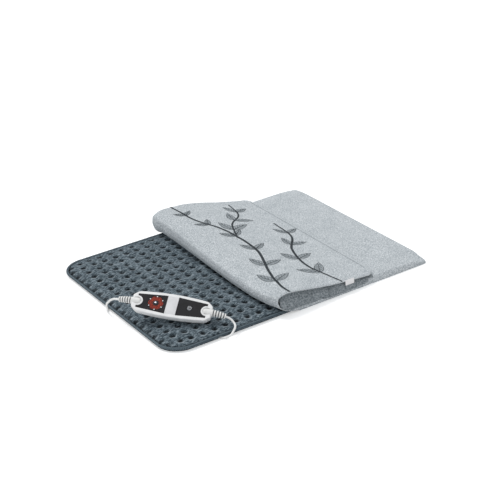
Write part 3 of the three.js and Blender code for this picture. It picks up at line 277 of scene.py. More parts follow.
# Scale of the flow marks and dull patches, span of the gloss, strength of the bump
finish = {
    "flowScale": 90, "plasticGloss": (0.85, 1.15), "plasticBump": 0.35, "coatRoughness": 0.12,
    "patchScale": 300, "metalGloss": (0.7, 1.4), "metalBump": 0.2, "metalDepth": 0.00001,
    "threadScale": 0.314, "weaveGloss": (0.9, 0.7), "weaveBump": 0.6,
}


# Moulded plastics, seen as a fine grain left by the mould, slight flow marks and uneven gloss, and on the boots
# painted shade in the grooves
def plastic(name, darkHex, lightHex, roughness, grainSize=0.0004, grainDepth=0.00002, coat=0.0, ior=1.5,
            grooveShadeColour=None):
    material, tree, shader, place = newMaterial(name)
    flow = noise(tree, place, finish["flowScale"], 3, Distortion=0.6)
    colour = colourSteps(tree, flow, [(0.35, darkHex), (0.65, lightHex)])
    # painted shade: a grey mixed in by the mesh's groove measure
    if grooveShadeColour:
        colour = mixColours(tree, measure(tree, "groove"), colour, grooveShadeColour)
    fill(tree, shader, {
        "Base Color": colour, "Roughness": mapTo(tree, flow, *(roughness * share for share in finish["plasticGloss"])),
        "Normal": bump(tree, noise(tree, place, 1 / grainSize), finish["plasticBump"], grainDepth),
        "IOR": ior, "Coat Weight": coat, "Coat Roughness": finish["coatRoughness"],
    })
    return material


# Metals, seen as fine turning or rolling marks and a few dull patches
def metal(name, darkHex, lightHex, roughness, lineSize):
    material, tree, shader, place = newMaterial(name)
    marks, patches = noise(tree, place, 1 / lineSize), noise(tree, place, finish["patchScale"], 4)
    fill(tree, shader, {
        "Base Color": colourSteps(tree, patches, [(0.3, darkHex), (0.6, lightHex)]), "Metallic": 1.0,
        "Roughness": mapTo(tree, marks, *(roughness * share for share in finish["metalGloss"])),
        "Normal": bump(tree, marks, finish["metalBump"], finish["metalDepth"]),
    })
    return material


# Woven cloths, seen as crossing threads: thread spacing in metres
def weave(name, darkHex, lightHex, thread, depth):
    material, tree, shader, place = newMaterial(name)
    inputs = {"Vector": place, "Scale": finish["threadScale"] / thread, "Distortion": 0.6, "Detail": 1}
    crossed = compute(tree, "MULTIPLY", *(
        addNode(tree, "TexWave", inputs, bands_direction=axis).outputs["Fac"] for axis in ("X", "Y")
    ))
    fill(tree, shader, {
        "Base Color": colourSteps(tree, crossed, [(0.05, darkHex), (0.7, lightHex)]),
        "Roughness": mapTo(tree, crossed, *finish["weaveGloss"]),
        "Normal": bump(tree, crossed, finish["weaveBump"], depth),
    })
    return material


materials = {
    # microfibre plush, brushed: blue grey, matt, a pale bloom where the pile is seen edge on; near black in each
    # tufted pit, partly welded pile and partly painted shade
    "quilt_plush": pileCloth("microfibrePlush", ("#323c43", "#58656d", "#93a0a8"), 0.0021, 0.0007, 0.0021, 0.05,
                             lean=(0.45, 1.6, 1), spread=0.11, pitWeldAndShade="#04070a"),
    "piping_cloth": weave("wovenBindingTape", "#3d4a52", "#74838c", 0.0009, 0.0002),
    "heater_felt": pileCloth("needlePunchedFelt", ("#9a9c9b", "#b2b4b2", "#c6c8c5"), 0.003, 0.0008, 0.0003, 0.1),
    "heater_wire": plastic("siliconeWire", "#8d2f26", "#a5392d", 0.5),
    "sensor_black": plastic("pottedEpoxy", "#141516", "#1d1f21", 0.3),
    # polyester fleece, sheared: light grey melange with paler and bluer fibres
    "fleece_light": pileCloth("shearedFleece", ("#a4abb0", "#bfc5c8", "#dce0e3"), 0.0016, 0.0007, 0.0009, 0.05,
                              spread=0.10),
    # longer plush of the lining: mid grey, lies in soft tufts; its grey is partly its own colour and partly painted
    # shade of the inside of the fold
    "plush_grey": pileCloth("liningPlush", ("#646b70", "#858c90", "#a6acb0"), 0.0022, 0.0007, 0.0012, 0.12,
                             spread=0.13),
    "label_cloth": weave("satinRibbon", "#efeded", "#faf8f8", 0.0005, 0.00005),
    # ABS, spark-eroded mould finish: white, semi gloss
    "shell_white": plastic("absWhite", "#ebebeb", "#f2f2f2", 0.38, coat=0.1),
    "panel_black": plastic("acrylicBlack", "#0f0e12", "#17161a", 0.3, ior=1.36),
    # light ring: its red glow painted into the colour
    "ring_red": plastic("paintedRedGlow", "#7a1c16", "#b23a24", 0.35),
    "lamp_white": plastic("polycarbonateOpal", "#f6eff0", "#ffffff", 0.25, ior=1.585),
    "button_silver": metal("satinChrome", "#b4b9c2", "#dfe3e8", 0.2, 0.0002),
    "button_black": plastic("absBlack", "#0f1118", "#1a1e2a", 0.3),
    "board_green": plastic("fibreglassBoard", "#0f4a2c", "#17603a", 0.4),
    "component_black": plastic("transferMouldedEpoxy", "#17181a", "#232427", 0.5),
    "component_glass": plastic("glassFuse", "#b9c2c4", "#d5dcdd", 0.1),
    "component_film": plastic("filmCapacitor", "#8a6a22", "#b08a30", 0.4),
    "component_terminal": plastic("polyamideTerminal", "#2d5f8e", "#3a70a3", 0.45),
    "screw_steel": metal("zincPlatedSteel", "#8e9194", "#b9bcbf", 0.35, 0.0003),
    # soft PVC: white, waxy sheen, with painted shade grey in the grooves of the boots
    "boot_white": plastic("softPvcWhite", "#e6e6e4", "#f0f0ee", 0.45, grooveShadeColour="#5d5e5f"),
    "lead_white": plastic("pvcLeadWhite", "#ebebea", "#f4f4f3", 0.4),
    "tie_black": plastic("nylonTie", "#1b1c1d", "#292b2d", 0.4),
    "plug_white": plastic("plugPvc", "#e3e3e1", "#f0f0ee", 0.4),
    "pin_metal": metal("nickelPlatedBrass", "#a3a39c", "#cfcfc8", 0.25, 0.0002),
}

# On the fleece: screen ink in two greys, and polyester sewing thread a shade darker than the cloth, whose line near
# the flap's end is also a painted shadow line
prints = {
    key: pileCloth(name, shades, 0.0014, 0.0005, 0.0003, 0.04)
    for key, name, shades in (
        ("ink", "screenInk", ("#2b2f32", "#3a3f42", "#4c5256")),
        ("thread", "sewingThread", ("#868d91", "#9ea5a9", "#b3b8bc")),
        ("leaf", "screenInkPale", ("#868d91", "#9aa1a5", "#b0b6ba")),
    )
}


# Material, body, and the CAD nodes that the piece stands in for
def dress(piece, slotName, *nodes, body="pad"):
    piece.data.materials.clear()
    piece.data.materials.append(materials[slotName])
    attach(piece, body)
    if nodes:
        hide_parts(*nodes)


# Meshes from grids and rings of points
def meshPiece(name, points, faces, recalculate=True):
    mesh = bpy.data.meshes.new(name)
    mesh.from_pydata(np.asarray(points, float).tolist(), [], faces)
    mesh.update()
    mesh.polygons.foreach_set("use_smooth", [True] * len(mesh.polygons))
    if recalculate:
        work = bmesh.new()
        work.from_mesh(mesh)
        bmesh.ops.recalc_face_normals(work, faces=work.faces)
        work.to_mesh(mesh)
        work.free()
    return addObject(name, mesh)


def gridQuads(rows, columns, first=0, flip=False):
    i, j = np.meshgrid(np.arange(rows - 1), np.arange(columns - 1), indexing="ij")
    a = (first + i * columns + j).ravel()
    quads = np.stack([a, a + columns, a + columns + 1, a + 1], axis=1)
    return (quads[:, ::-1] if flip else quads).tolist()


# Vertex numbers once round a grid's edge, and quads between neighbouring closed loops
def rimOf(rows, columns):
    ring = [(i, 0) for i in range(rows - 1)] + [(rows - 1, j) for j in range(columns - 1)]
    ring += [(i, columns - 1) for i in range(rows - 1, 0, -1)] + [(0, j) for j in range(columns - 1, 0, -1)]
    return [i * columns + j for i, j in ring[::-1]]


def joinLoops(*loops):
    return [[a[k - 1], a[k], b[k], b[k - 1]] for a, b in zip(loops, loops[1:]) for k in range(len(a))]


def ringPiece(name, points, sides):
    rings = [range(first, first + sides) for first in range(0, len(points), sides)]
    return meshPiece(name, points, joinLoops(*rings) + [list(rings[0])[::-1], list(rings[-1])])


def roundedPlaces(x, y, halfX, halfY, radius):
    a, b = halfX - np.abs(x), halfY - np.abs(y)
    reach = np.maximum(radius - np.minimum(a, b), 1e-9)
    turn = pi / 4 * (radius - np.maximum(a, b)) / reach
    near, far = reach * np.cos(turn), reach * np.sin(turn)
    inCorner = (a < radius) & (b < radius)
    outX = np.sign(x) * (halfX - radius + np.where(a <= b, near, far))
    outY = np.sign(y) * (halfY - radius + np.where(a <= b, far, near))
    return np.where(inCorner, outX, x), np.where(inCorner, outY, y)


def ramp(value):
    return np.clip(value, 0, 1)


def ease(share):
    return share * share * (3 - 2 * share)


def bell(away, reach, power=2):
    return np.exp(-(away / reach) ** power)


def softNoise(x, y, size, seed):
    side = 97
    lattice = np.random.default_rng(seed).uniform(-1, 1, (side, side))
    u, v = x / size + 40.3, y / size + 40.7
    i, j = np.floor(u).astype(int), np.floor(v).astype(int)
    a, b = ease(u - i), ease(v - j)
    pick = lambda di, dj: lattice[(i + di) % side, (j + dj) % side]
    low = pick(0, 0) * (1 - a) + pick(1, 0) * a
    high = pick(0, 1) * (1 - a) + pick(1, 1) * a
    return low * (1 - b) + high * b


# Pad: a quilted top, plush on wadding, welded in points. Each tuft is a wide dip with a deep pit in it,
# puckers round it and creases to its neighbours. Each pit and the rim groove also carry painted shade,
# and each pit's front rim a painted highlight.
quilt = {
    "length": 0.432, "width": 0.330, "cornerRadius": 0.036, "edgeInset": 0.0033, "bottom": 0.0049,
    "rimInset": (0, 0.0003, 0.0008, 0.0014, 0.0021, 0.0028, 0.0034, 0.004, 0.0046, 0.0052, 0.006, 0.007),
    "fineStep": 0.00098, "coveredStep": 0.0046, "coveredFrom": -0.022,
    "pitch": (0.0181, 0.0174), "first": (-0.20815, -0.1479), "count": (24, 18), "stray": 0.0005,
    "uneven": (0.86, 1.12), "fullFrom": 0.024, "leastAtEdge": 0.42,
    "edgeReach": (0, 0.0006, 0.0014, 0.0024, 0.0034, 0.0046, 0.0060, 0.008, 0.012, 0.018, 0.027, 0.045),
    "edgeHeight": (0.0050, 0.0051, 0.0054, 0.0064, 0.0074, 0.0080, 0.0083, 0.0086, 0.0092, 0.0101, 0.0112, 0.0114),
    "waveHeight": 0.00022, "waveSize": 0.034, "waveFrom": 0.02,
    "dips": ((0.0019, 0.0058, 2), (0.0042, 0.0034, 2.8)),    # depth, reach, power
    # each pit's dark, partly welded pile and partly painted shade: reach, power and strength; then the place, width
    # and facing of the painted highlight on its front rim
    "pit": (0.0042, 4), "pitStrength": 1.9, "lipHighlightReach": 0.0058, "lipHighlightWidth": 0.0012, "lipHighlightFacing": (0.27, 0.96),
    "puckerDepth": 0.00030, "puckerStart": 0.003, "puckerReach": 0.0042, "lobes": (4, 7),
    "creaseDepth": 0.00045, "creaseWidth": 0.0010, "creaseShare": (0.1, 1.3), "creaseFrom": 0.009, "creaseFull": 0.006,
    "wander": 0.0007, "wanderSize": 0.006,
    "napHeight": 0.0003, "napSize": 0.0021, "napLean": (0.55, 1.3),
    "stitchHeight": 0.0004, "stitchSize": 0.0045, "stitchRound": 0.37, "stitchAt": 0.0050, "stitchWidth": 0.0032,
    # groove and grooveShade: width and strength of the painted shade along the rim groove
    "groove": 0.0021, "grooveShade": 0.85, "softEdge": 0.004, "leastCloth": 0.0024,
}


def quiltLines(half, fineTo):
    rim = quilt["rimInset"]
    lines = [-half + inset for inset in rim]
    while lines[-1] < fineTo - quilt["fineStep"]:
        lines.append(lines[-1] + quilt["fineStep"])
    while lines[-1] < half - rim[-1] - quilt["coveredStep"] and fineTo < 0:
        lines.append(lines[-1] + quilt["coveredStep"])
    return np.array(lines + [half - inset for inset in rim[::-1]])


def quiltHeights(x, y, sharpX, sharpY, halfX, halfY):
    draw = np.random.default_rng(11)
    inwards = np.minimum(halfX - np.abs(sharpX), halfY - np.abs(sharpY))
    height = np.interp(inwards, quilt["edgeReach"], quilt["edgeHeight"])
    height += quilt["waveHeight"] * softNoise(x, y, quilt["waveSize"], 5) * ramp(inwards / quilt["waveFrom"])
    (pitchX, pitchY), (firstX, firstY), (countX, countY) = quilt["pitch"], quilt["first"], quilt["count"]
    gridX, gridY = np.meshgrid(firstX + pitchX * np.arange(countX), firstY + pitchY * np.arange(countY), indexing="ij")
    shape = gridX.shape
    edgeGap = np.minimum(halfX - np.abs(gridX), halfY - np.abs(gridY))
    strength = np.clip(edgeGap / quilt["fullFrom"], quilt["leastAtEdge"], 1) * draw.uniform(*quilt["uneven"], shape)
    tufts = roundedPlaces(gridX, gridY, halfX, halfY, quilt["cornerRadius"] - quilt["edgeInset"])
    tuftX, tuftY = (places + draw.uniform(-quilt["stray"], quilt["stray"], shape) for places in tufts)
    lobes = draw.integers(*quilt["lobes"], shape)
    phase = draw.uniform(0, 2 * pi, shape)
    placeI, placeJ = (sharpX - firstX) / pitchX, (sharpY - firstY) / pitchY
    nearI, nearJ = np.round(placeI).astype(int), np.round(placeJ).astype(int)
    pull, pit, lipHighlight = np.zeros((3, *height.shape))
    for di, dj in np.ndindex(3, 3):
        i, j = nearI + di - 1, nearJ + dj - 1
        real = (i >= 0) & (i < countX) & (j >= 0) & (j < countY)
        i, j = np.clip(i, 0, countX - 1), np.clip(j, 0, countY - 1)
        awayX, awayY = x - tuftX[i, j], y - tuftY[i, j]
        away = np.hypot(awayX, awayY)
        dip = sum(depth * bell(away, reach, power) for depth, reach, power in quilt["dips"])
        # each pit's painted light: its dark (welded pile and painted shade) and a painted highlight on its front rim
        shown = np.where(real, np.minimum(strength[i, j] * quilt["pitStrength"], 1), 0)
        pit = np.maximum(pit, shown * bell(away, *quilt["pit"]))
        facingX, facingY = quilt["lipHighlightFacing"]
        front = ramp(-(facingX * awayX + facingY * awayY) / (away + 1e-9))
        lipHighlight = np.maximum(lipHighlight, shown * front * bell(away - quilt["lipHighlightReach"], quilt["lipHighlightWidth"]))
        pucker = np.cos(lobes[i, j] * np.arctan2(awayY, awayX) + phase[i, j])
        dip += quilt["puckerDepth"] * pucker * (away / quilt["puckerStart"]) * bell(away, quilt["puckerReach"])
        pull += np.where(real, strength[i, j] * dip, 0)
    creases = draw.uniform(*quilt["creaseShare"], (2, countX + 4, countY + 4))
    inside = ramp((inwards - quilt["creaseFrom"]) / quilt["creaseFull"])
    for axis, (place, other, pitch) in enumerate(((placeI, placeJ, pitchX), (placeJ, placeI, pitchY))):
        line = np.round(place)
        across = (place - line) * pitch + quilt["wander"] * softNoise(x, y, quilt["wanderSize"], 20 + axis)
        along = np.cos(pi * (other - np.floor(other))) ** 2
        cells = [line.astype(int) + 2, np.floor(other).astype(int) + 2]
        i, j = cells[::-1] if axis else cells
        share = creases[axis, np.clip(i, 0, countX + 3), np.clip(j, 0, countY + 3)]
        crease = inside * share * quilt["creaseDepth"] * bell(across, quilt["creaseWidth"])
        pull += crease * (0.3 + 0.7 * along)
    along = np.arctan2(y / halfY, x / halfX) * quilt["stitchRound"]
    stitches = softNoise(along, inwards, quilt["stitchSize"], 31)
    stitches = stitches * bell(inwards - quilt["stitchAt"], quilt["stitchWidth"])
    leanX, leanY = quilt["napLean"]
    nap = quilt["napHeight"] * softNoise(x * leanX, y * leanY, quilt["napSize"], 61) * (1 - pit)
    # painted shade of each pit and of the rim groove, less the painted highlights, carried to the quilt's colour
    shaded = np.maximum(pit, quilt["grooveShade"] * ramp(1 - (inwards - quilt["groove"] / 2) / quilt["groove"]))
    height = height - pull + quilt["stitchHeight"] * stitches + nap * ramp(inwards / quilt["softEdge"])
    lowest = quilt["bottom"] + np.where(inwards > quilt["softEdge"], quilt["leastCloth"], 0)
    return np.maximum(height, lowest), shaded - lipHighlight * (1 - shaded)


def makeQuilt():
    halfX, halfY = (quilt[key] / 2 - quilt["edgeInset"] for key in ("length", "width"))
    linesX = quiltLines(halfX, quilt["coveredFrom"])
    linesY = quiltLines(halfY, halfY - quilt["rimInset"][-1])
    sharpX, sharpY = np.meshgrid(linesX, linesY, indexing="ij")
    x, y = roundedPlaces(sharpX, sharpY, halfX, halfY, quilt["cornerRadius"] - quilt["edgeInset"])
    z, pit = quiltHeights(x, y, sharpX, sharpY, halfX, halfY)
    rows, columns = x.shape
    top = np.stack([x, y, z], axis=-1).reshape(-1, 3)
    rim = rimOf(rows, columns)
    total, count = len(top), len(rim)
    middle, base = top[rim], top[rim]
    middle[:, 2] = quilt["bottom"] + 0.0001
    base[:, :2] *= 0.998
    base[:, 2] = quilt["bottom"]
    lower = range(total + count, total + 2 * count)
    faces = gridQuads(rows, columns) + joinLoops(rim, range(total, total + count), lower) + [list(lower)]
    piece = meshPiece("quiltedTop", np.vstack([top, middle, base]) + padMiddle, faces, recalculate=False)
    # the pit measure: painted shade in each pit and along the rim groove, negative for the painted highlight on each
    # pit's front rim
    shade = piece.data.attributes.new("pit", "FLOAT", "POINT")
    shade.data.foreach_set("value", np.concatenate([pit.ravel(), np.zeros(2 * count)]))
    dress(piece, "quilt_plush", "pad_quilt")
    print("quilt:", rows, "x", columns)


# The rolled edge: binding tape round a cord, sewn to the quilt, with slight puckers, fuller where it lies bare
piping = {
    "radius": 0.0015, "open": 0.0004, "openFrom": 0.02, "height": 0.0052, "cornerRadius": 0.036,
    "steps": 560, "sides": 12, "pucker": 0.00012,
}


def outlineAt(halfX, halfY, radius, steps):
    a, b, arc = halfX - radius, halfY - radius, pi / 2 * radius
    legs = [2 * b, arc, 2 * a, arc] * 2
    starts = [(halfX, -b), (a, b), (a, halfY), (-a, b), (-halfX, b), (-a, -b), (-a, -halfY), (a, -b)]
    places = []
    for k in range(steps):
        run, leg = k / steps * sum(legs), 0
        while run >= legs[leg]:
            run -= legs[leg]
            leg += 1
        x, y = starts[leg]
        heading = pi / 2 * (leg // 2)
        if leg % 2:
            turn = heading + run / radius
            places.append((x + radius * cos(turn), y + radius * sin(turn), turn))
        else:
            places.append((x - run * sin(heading), y + run * cos(heading), heading))
    return places


def makePiping():
    inset, sides = piping["radius"], piping["sides"]
    halfX, halfY = quilt["length"] / 2 - inset, quilt["width"] / 2 - inset
    places = outlineAt(halfX, halfY, piping["cornerRadius"] - inset, piping["steps"])
    uneven = np.random.default_rng(3).uniform(-1, 1, len(places)) * piping["pucker"]
    points = []
    for (x, y, outward), rough in zip(places, uneven):
        full = inset + piping["open"] * min(max(-(x + piping["openFrom"]) / piping["openFrom"], 0), 1)
        for angle in 2 * pi * np.arange(sides) / sides:
            reach = (inset + min(rough, 0) if cos(angle) > 0 else 2 * full - inset) * cos(angle)
            height = piping["height"] + (full + rough) * sin(angle)
            points.append((x + cos(outward) * reach, y + sin(outward) * reach, height))
    rings = [range(first, first + sides) for first in range(0, len(points), sides)]
    piece = meshPiece("edgePiping", np.array(points) + padMiddle, joinLoops(*rings, rings[0]))
    dress(piece, "piping_cloth", "pad_piping")


def choose(piece):
    bpy.ops.object.select_all(action="DESELECT")
    piece.select_set(True)
    bpy.context.view_layer.objects.active = piece


# A merged copy of a CAD piece, with its sharp edges rounded as the mould or the sewing leaves them
def roundedCopy(node, slotName, width, steps=2, limit=32):
    first, *rest = node.split("_")
    piece = addObject(first + "".join(word.title() for word in rest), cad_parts[node].data.copy())
    work = bmesh.new()
    work.from_mesh(piece.data)
    bmesh.ops.remove_doubles(work, verts=work.verts, dist=0.000004)
    bmesh.ops.dissolve_limit(work, angle_limit=radians(0.6), verts=work.verts, edges=work.edges)
    work.to_mesh(piece.data)
    work.free()
    choose(piece)
    bevel = piece.modifiers.new("round", "BEVEL")
    bevel.width, bevel.segments = width, steps
    bevel.limit_method, bevel.angle_limit = "ANGLE", radians(limit)
    bpy.ops.object.modifier_apply(modifier=bevel.name)
    bpy.ops.object.shade_smooth_by_angle(angle=radians(38))
    flats = piece.modifiers.new("flats", "WEIGHTED_NORMAL")
    flats.keep_sharp = True
    bpy.ops.object.modifier_apply(modifier=flats.name)
    piece.select_set(False)
    dress(piece, slotName, node)
    return piece


# Cover: a fleece sheet over the pad, its upper side turned back over itself in a soft roll. Curl and flap are
# the fold's profile: share of the run, share of the rise, and how far its ends sink over the pad's edge.
cover = {
    "halfX": 0.2185, "halfY": 0.166, "thickness": 0.0016, "cornerRadius": 0.035, "outerCorner": 0.007,
    "refHeight": 0.0116, "rimHeight": 0.0019, "flapStack": 0.0069,
    "foldFront": -0.043, "foldBack": -0.050, "riseFront": 0.0226, "riseBack": 0.0344,
    "flapEnd": 0.124, "flapCorner": 0.012,
    "rimInset": (0, 0.0003, 0.0016, 0.0065, 0.016, 0.027), "rimSink": (1, 0.66, 0.41, 0.3, 0.16, 0),
    "edgeInsets": (0, 0.0003, 0.0009, 0.0016, 0.003, 0.0048, 0.0065, 0.009, 0.0125, 0.016, 0.0215, 0.027),
    "curl": [(0.215, 0, 1), (0.15, 0, 0.85), (0.085, 0.01, 0.55), (0.036, 0.1, 0.3), (0.01, 0.28, 0.2)],
    "flap": [(0, 0.5, 0.12), (0.016, 0.8, 0.1), (0.07, 0.965, 0.1), (0.16, 1, 0.1), (0.3, 0.9, 0.1),
             (0.48, 0.69, 0.12), (0.66, 0.43, 0.16), (0.82, 0.2, 0.25), (0.93, 0.06, 0.3), (1, 0, 0.3)],
    "bowPlaces": (-0.166, -0.158, -0.148, -0.12, -0.065, -0.011, 0.057, 0.1, 0.145, 0.166),
    "bow": (0, -0.004, -0.0085, -0.012, -0.0115, -0.0085, -0.004, -0.0015, 0, 0),
    "droopPlaces": (-0.03, 0.004, 0.026, 0.046, 0.064, 0.081, 0.1, 0.115, 0.124),
    "droop": (0, 0.0036, 0.0052, 0.0054, 0.0046, 0.0036, 0.0022, 0.0016, 0.0012), "droopReach": 0.045,
    "freeCorner": 0.009, "cornerFall": (0.85, 0.3),
    "foldSteps": 128, "acrossStep": 0.0034, "flatRows": (0.185, 0.012, -0.0046),
    "folds": ((0.0011, 0.055, 41), (0.0005, 0.021, 42), (0.00012, 0.008, 43)), "flatFold": 0.12, "foldRise": 0.012,
    "hemSwell": 0.0004, "hemAt": 0.0028, "hemReach": 0.0026, "hemWidth": 0.0075, "seamDepth": 0.00045,
    "seamWidth": 0.0009, "hemFrom": 0.0004,
    "sewn": (0.336, 0.475), "flangeWidth": 0.027,
}
lining = {
    "near": 0.0019, "far": 0.0033, "trim": 0.0016, "endX": 0.124,
    "napHeight": 0.0003, "napSize": 0.0045, "napMost": 0.0001,
}


def coverAcross():
    insets = np.array(cover["edgeInsets"])
    half, reach = cover["halfY"], insets[-1]
    middle = np.arange(-half + reach, half - reach, cover["acrossStep"])[1:]
    return np.concatenate([-half + insets, middle, half - insets[::-1]])


# Near its sewn edge the cover keeps its own small corner, past the pad's rounder one
def cornerReach(x, y, edge):
    halfX, halfY, radius = cover["halfX"], cover["halfY"], cover["cornerRadius"]
    px, py = roundedPlaces(x, y, halfX, halfY, radius)
    centreX, centreY = halfX - radius, halfY - radius
    outX, outY = np.abs(px) - centreX, np.abs(py) - centreY
    away = np.hypot(outX, outY) + 1e-12
    outX, outY = outX / away, outY / away
    outer = cover["outerCorner"]
    inner = radius - outer
    both = inner * (outX + outY)
    onArc = both + np.sqrt(np.maximum(both ** 2 - 2 * inner ** 2 + outer ** 2, 0))
    steep = np.minimum(outX, outY) / np.maximum(outX, outY)
    reach = np.where(radius * steep < inner, radius / np.maximum(outX, outY), onArc)
    reach = away + (reach - radius) * edge
    inCorner = (outX > 0) & (outY > 0)
    px = np.where(inCorner, np.sign(x) * (centreX + reach * outX), px)
    py = np.where(inCorner, np.sign(y) * (centreY + reach * outY), py)
    return px, py, np.where(inCorner, np.maximum(reach - away, 0), 0)


def coverGrid():
    across = coverAcross()
    halfX, halfY, level, stack = (cover[key] for key in ("halfX", "halfY", "refHeight", "flapStack"))
    inset = halfY - np.abs(across)
    sink = np.interp(inset, cover["rimInset"], cover["rimSink"])
    softSink = ramp(1 - inset / cover["rimInset"][-1]) ** 2
    depth = level - cover["rimHeight"]
    rows = []
    for x in [halfX - step for step in cover["edgeInsets"]] + list(np.arange(*cover["flatRows"])):
        endSink = np.interp(halfX - x, cover["rimInset"], cover["rimSink"])
        edge = ramp(1 - np.minimum(halfX - x, inset) / cover["flangeWidth"]) ** 1.5
        px, py, beyond = cornerReach(np.full_like(across, x), across, edge)
        lower = np.maximum(endSink, sink)
        fall = np.where(across < 0, *cover["cornerFall"])
        lower = lower + (1 - lower) * ramp(beyond / cover["freeCorner"]) * fall
        rows.append(np.stack([px, py, level - depth * lower], axis=1))
    flatRows, steps, stations = len(rows), cover["foldSteps"], []
    for y in across:
        share = (y / halfY + 1) / 2
        foldX = cover["foldFront"] + (cover["foldBack"] - cover["foldFront"]) * share
        foldX += np.interp(y, cover["bowPlaces"], cover["bow"])
        rise = cover["riseFront"] + (cover["riseBack"] - cover["riseFront"]) * share
        run = cover["flapEnd"] - foldX
        knots = [(foldX + run * a, level + rise * b, c) for a, b, c in cover["curl"]]
        knots += [(foldX + run * a, level + stack + (rise - stack) * b, c) for a, b, c in cover["flap"]]
        stations.append(curveAt(knots, np.arange(steps + 1) / steps))
    nearFront = ramp(1 - (across + halfY) / cover["droopReach"]) ** 2
    for step, (place, height, droop) in enumerate(np.array(stations).transpose(1, 2, 0)):
        height = height - depth * droop * (softSink + (sink - softSink) * droop)
        drawn = 0 * across
        if step > steps / 2:
            radius = cover["flapCorner"]
            corner = np.maximum(radius - (cover["flapEnd"] - place), 0)
            drawn = radius - np.sqrt(np.maximum(radius ** 2 - corner ** 2, 0))
            height = height - nearFront * np.interp(place, cover["droopPlaces"], cover["droop"])
        rows.append(np.stack([place, across * (1 - drawn / halfY), height], axis=1))
    return np.array(rows), across, flatRows


def gridNormals(grid):
    along = np.empty_like(grid)
    along[1:-1], along[0], along[-1] = grid[2:] - grid[:-2], grid[1] - grid[0], grid[-1] - grid[-2]
    across = np.empty_like(grid)
    across[:, 1:-1] = grid[:, 2:] - grid[:, :-2]
    across[:, 0], across[:, -1] = grid[:, 1] - grid[:, 0], grid[:, -1] - grid[:, -2]
    normal = np.cross(across, along)
    return normal / np.linalg.norm(normal, axis=2, keepdims=True)


# Cloth between two distances from the grid, closed by a rounded edge
def clothPiece(name, grid, normals, near, far):
    rows, columns = grid.shape[:2]
    nearSide = (grid + normals * near).reshape(-1, 3)
    farSide = (grid + normals * far).reshape(-1, 3)
    rim, total = rimOf(rows, columns), rows * columns
    i, j = np.divmod(rim, columns)
    outward = grid[i, j] - grid[np.clip(i, 1, rows - 2), np.clip(j, 1, columns - 2)]
    outward /= np.linalg.norm(outward, axis=1, keepdims=True)
    thick = np.linalg.norm(farSide[rim] - nearSide[rim], axis=1, keepdims=True)
    middle = (nearSide[rim] + farSide[rim]) / 2 + outward * thick * 0.45
    faces = gridQuads(rows, columns) + gridQuads(rows, columns, total, flip=True)
    faces += joinLoops(rim, range(2 * total, 2 * total + len(rim)), [total + index for index in rim])
    return meshPiece(name, np.vstack([nearSide, farSide, middle]) + padMiddle, faces)


def lengthAlong(line):
    return np.concatenate([[0], np.cumsum(np.linalg.norm(np.diff(line, axis=0), axis=1))])


def makeCover():
    grid, across, flatRows = coverGrid()
    normals = gridNormals(grid)
    s, t = np.meshgrid(lengthAlong(grid[:, grid.shape[1] // 2]), across, indexing="ij")
    room = ramp((grid[:, :, 2] - cover["refHeight"] - cover["flapStack"]) / cover["foldRise"])
    room[:flatRows] = cover["flatFold"]
    folds = sum(depth * softNoise(s, t, size, seed) for depth, size, seed in cover["folds"])
    grid = grid - normals * (folds * room)[:, :, None]
    normals = gridNormals(grid)
    total = s[-1, 0]
    fromEdge = np.minimum(np.minimum(s, total - s), cover["halfY"] - np.abs(t))
    swell = cover["hemSwell"] * bell(fromEdge - cover["hemAt"], cover["hemReach"])
    swell -= cover["seamDepth"] * bell(fromEdge - cover["hemWidth"], cover["seamWidth"])
    swell = np.where(fromEdge > cover["hemFrom"], swell, 0)[:, :, None]
    sheet = clothPiece("coverUpperSheet", grid, normals, -swell, cover["thickness"])
    dress(sheet, "fleece_light", "cover_upper_sheet")
    makeLining(grid, across, flatRows)
    makeGussets(grid, normals)
    printed = makePrint(grid - normals * swell, normals, s, t)
    print("cover:", grid.shape, "length", round(float(total), 4))


def makeLining(grid, across, flatRows):
    columns = np.where(cover["halfY"] - np.abs(across) >= lining["trim"] - 1e-6)[0]
    firstRow = int(np.argmax(grid[:flatRows, grid.shape[1] // 2, 0] < lining["endX"]))
    lined = slice(firstRow, -1), slice(columns[0], columns[-1] + 1)
    part, normals = grid[lined], gridNormals(grid)[lined]
    rows, cols = part.shape[:2]
    tufts = lining["napHeight"] * softNoise(part[:, :, 0] + part[:, :, 2], part[:, :, 1], lining["napSize"], 51)
    far = lining["far"] + np.minimum(tufts, lining["napMost"])
    piece = clothPiece("coverLining", part, normals, lining["near"], lining["far"])
    inner = (part + normals * far[:, :, None]).reshape(-1, 3) + padMiddle
    for vertex, place in zip(piece.data.vertices[rows * cols:2 * rows * cols], inner):
        vertex.co = place
    dress(piece, "plush_grey", "cover_lining")


# The plush that closes the fold's front mouth: hangs from the flap, swells, and drapes over the pad's front edge
mouth = {
    "places": (-0.0395, -0.0375, -0.033, -0.028, -0.0166, 0.008, 0.026, 0.045, 0.081, 0.106, 0.113),
    "low": (0.0178, 0.0140, 0.0094, 0.0070, 0.0064, 0.0062, 0.0056, 0.0040, 0.0038, 0.0040, 0.0052),
    "face": -0.1683, "tuck": -0.1618, "hung": -0.1630, "hem": 0.0004, "leastHigh": 0.004, "leastGap": 0.0008,
    "swell": 0.0026, "thickness": 0.0014, "rows": 30, "columns": 190, "endShares": (0.02, 0.25), "leanFrom": 0.015,
    "outBy": 0.7, "endSwell": 0.3,
    # creases: place, width, depth, lean; ripples: depth, stretch down, size, seed
    "creases": ((0.010, 0.0022, 0.0024, 0.45), (0.043, 0.0016, 0.0036, 0.3), (-0.031, 0.0012, 0.0018, 0.2),
                (0.071, 0.001, 0.003, 0.25)),
    "ripples": ((0.0011, 1.3, 0.011, 71), (0.0004, 1, 0.0035, 72)),
}


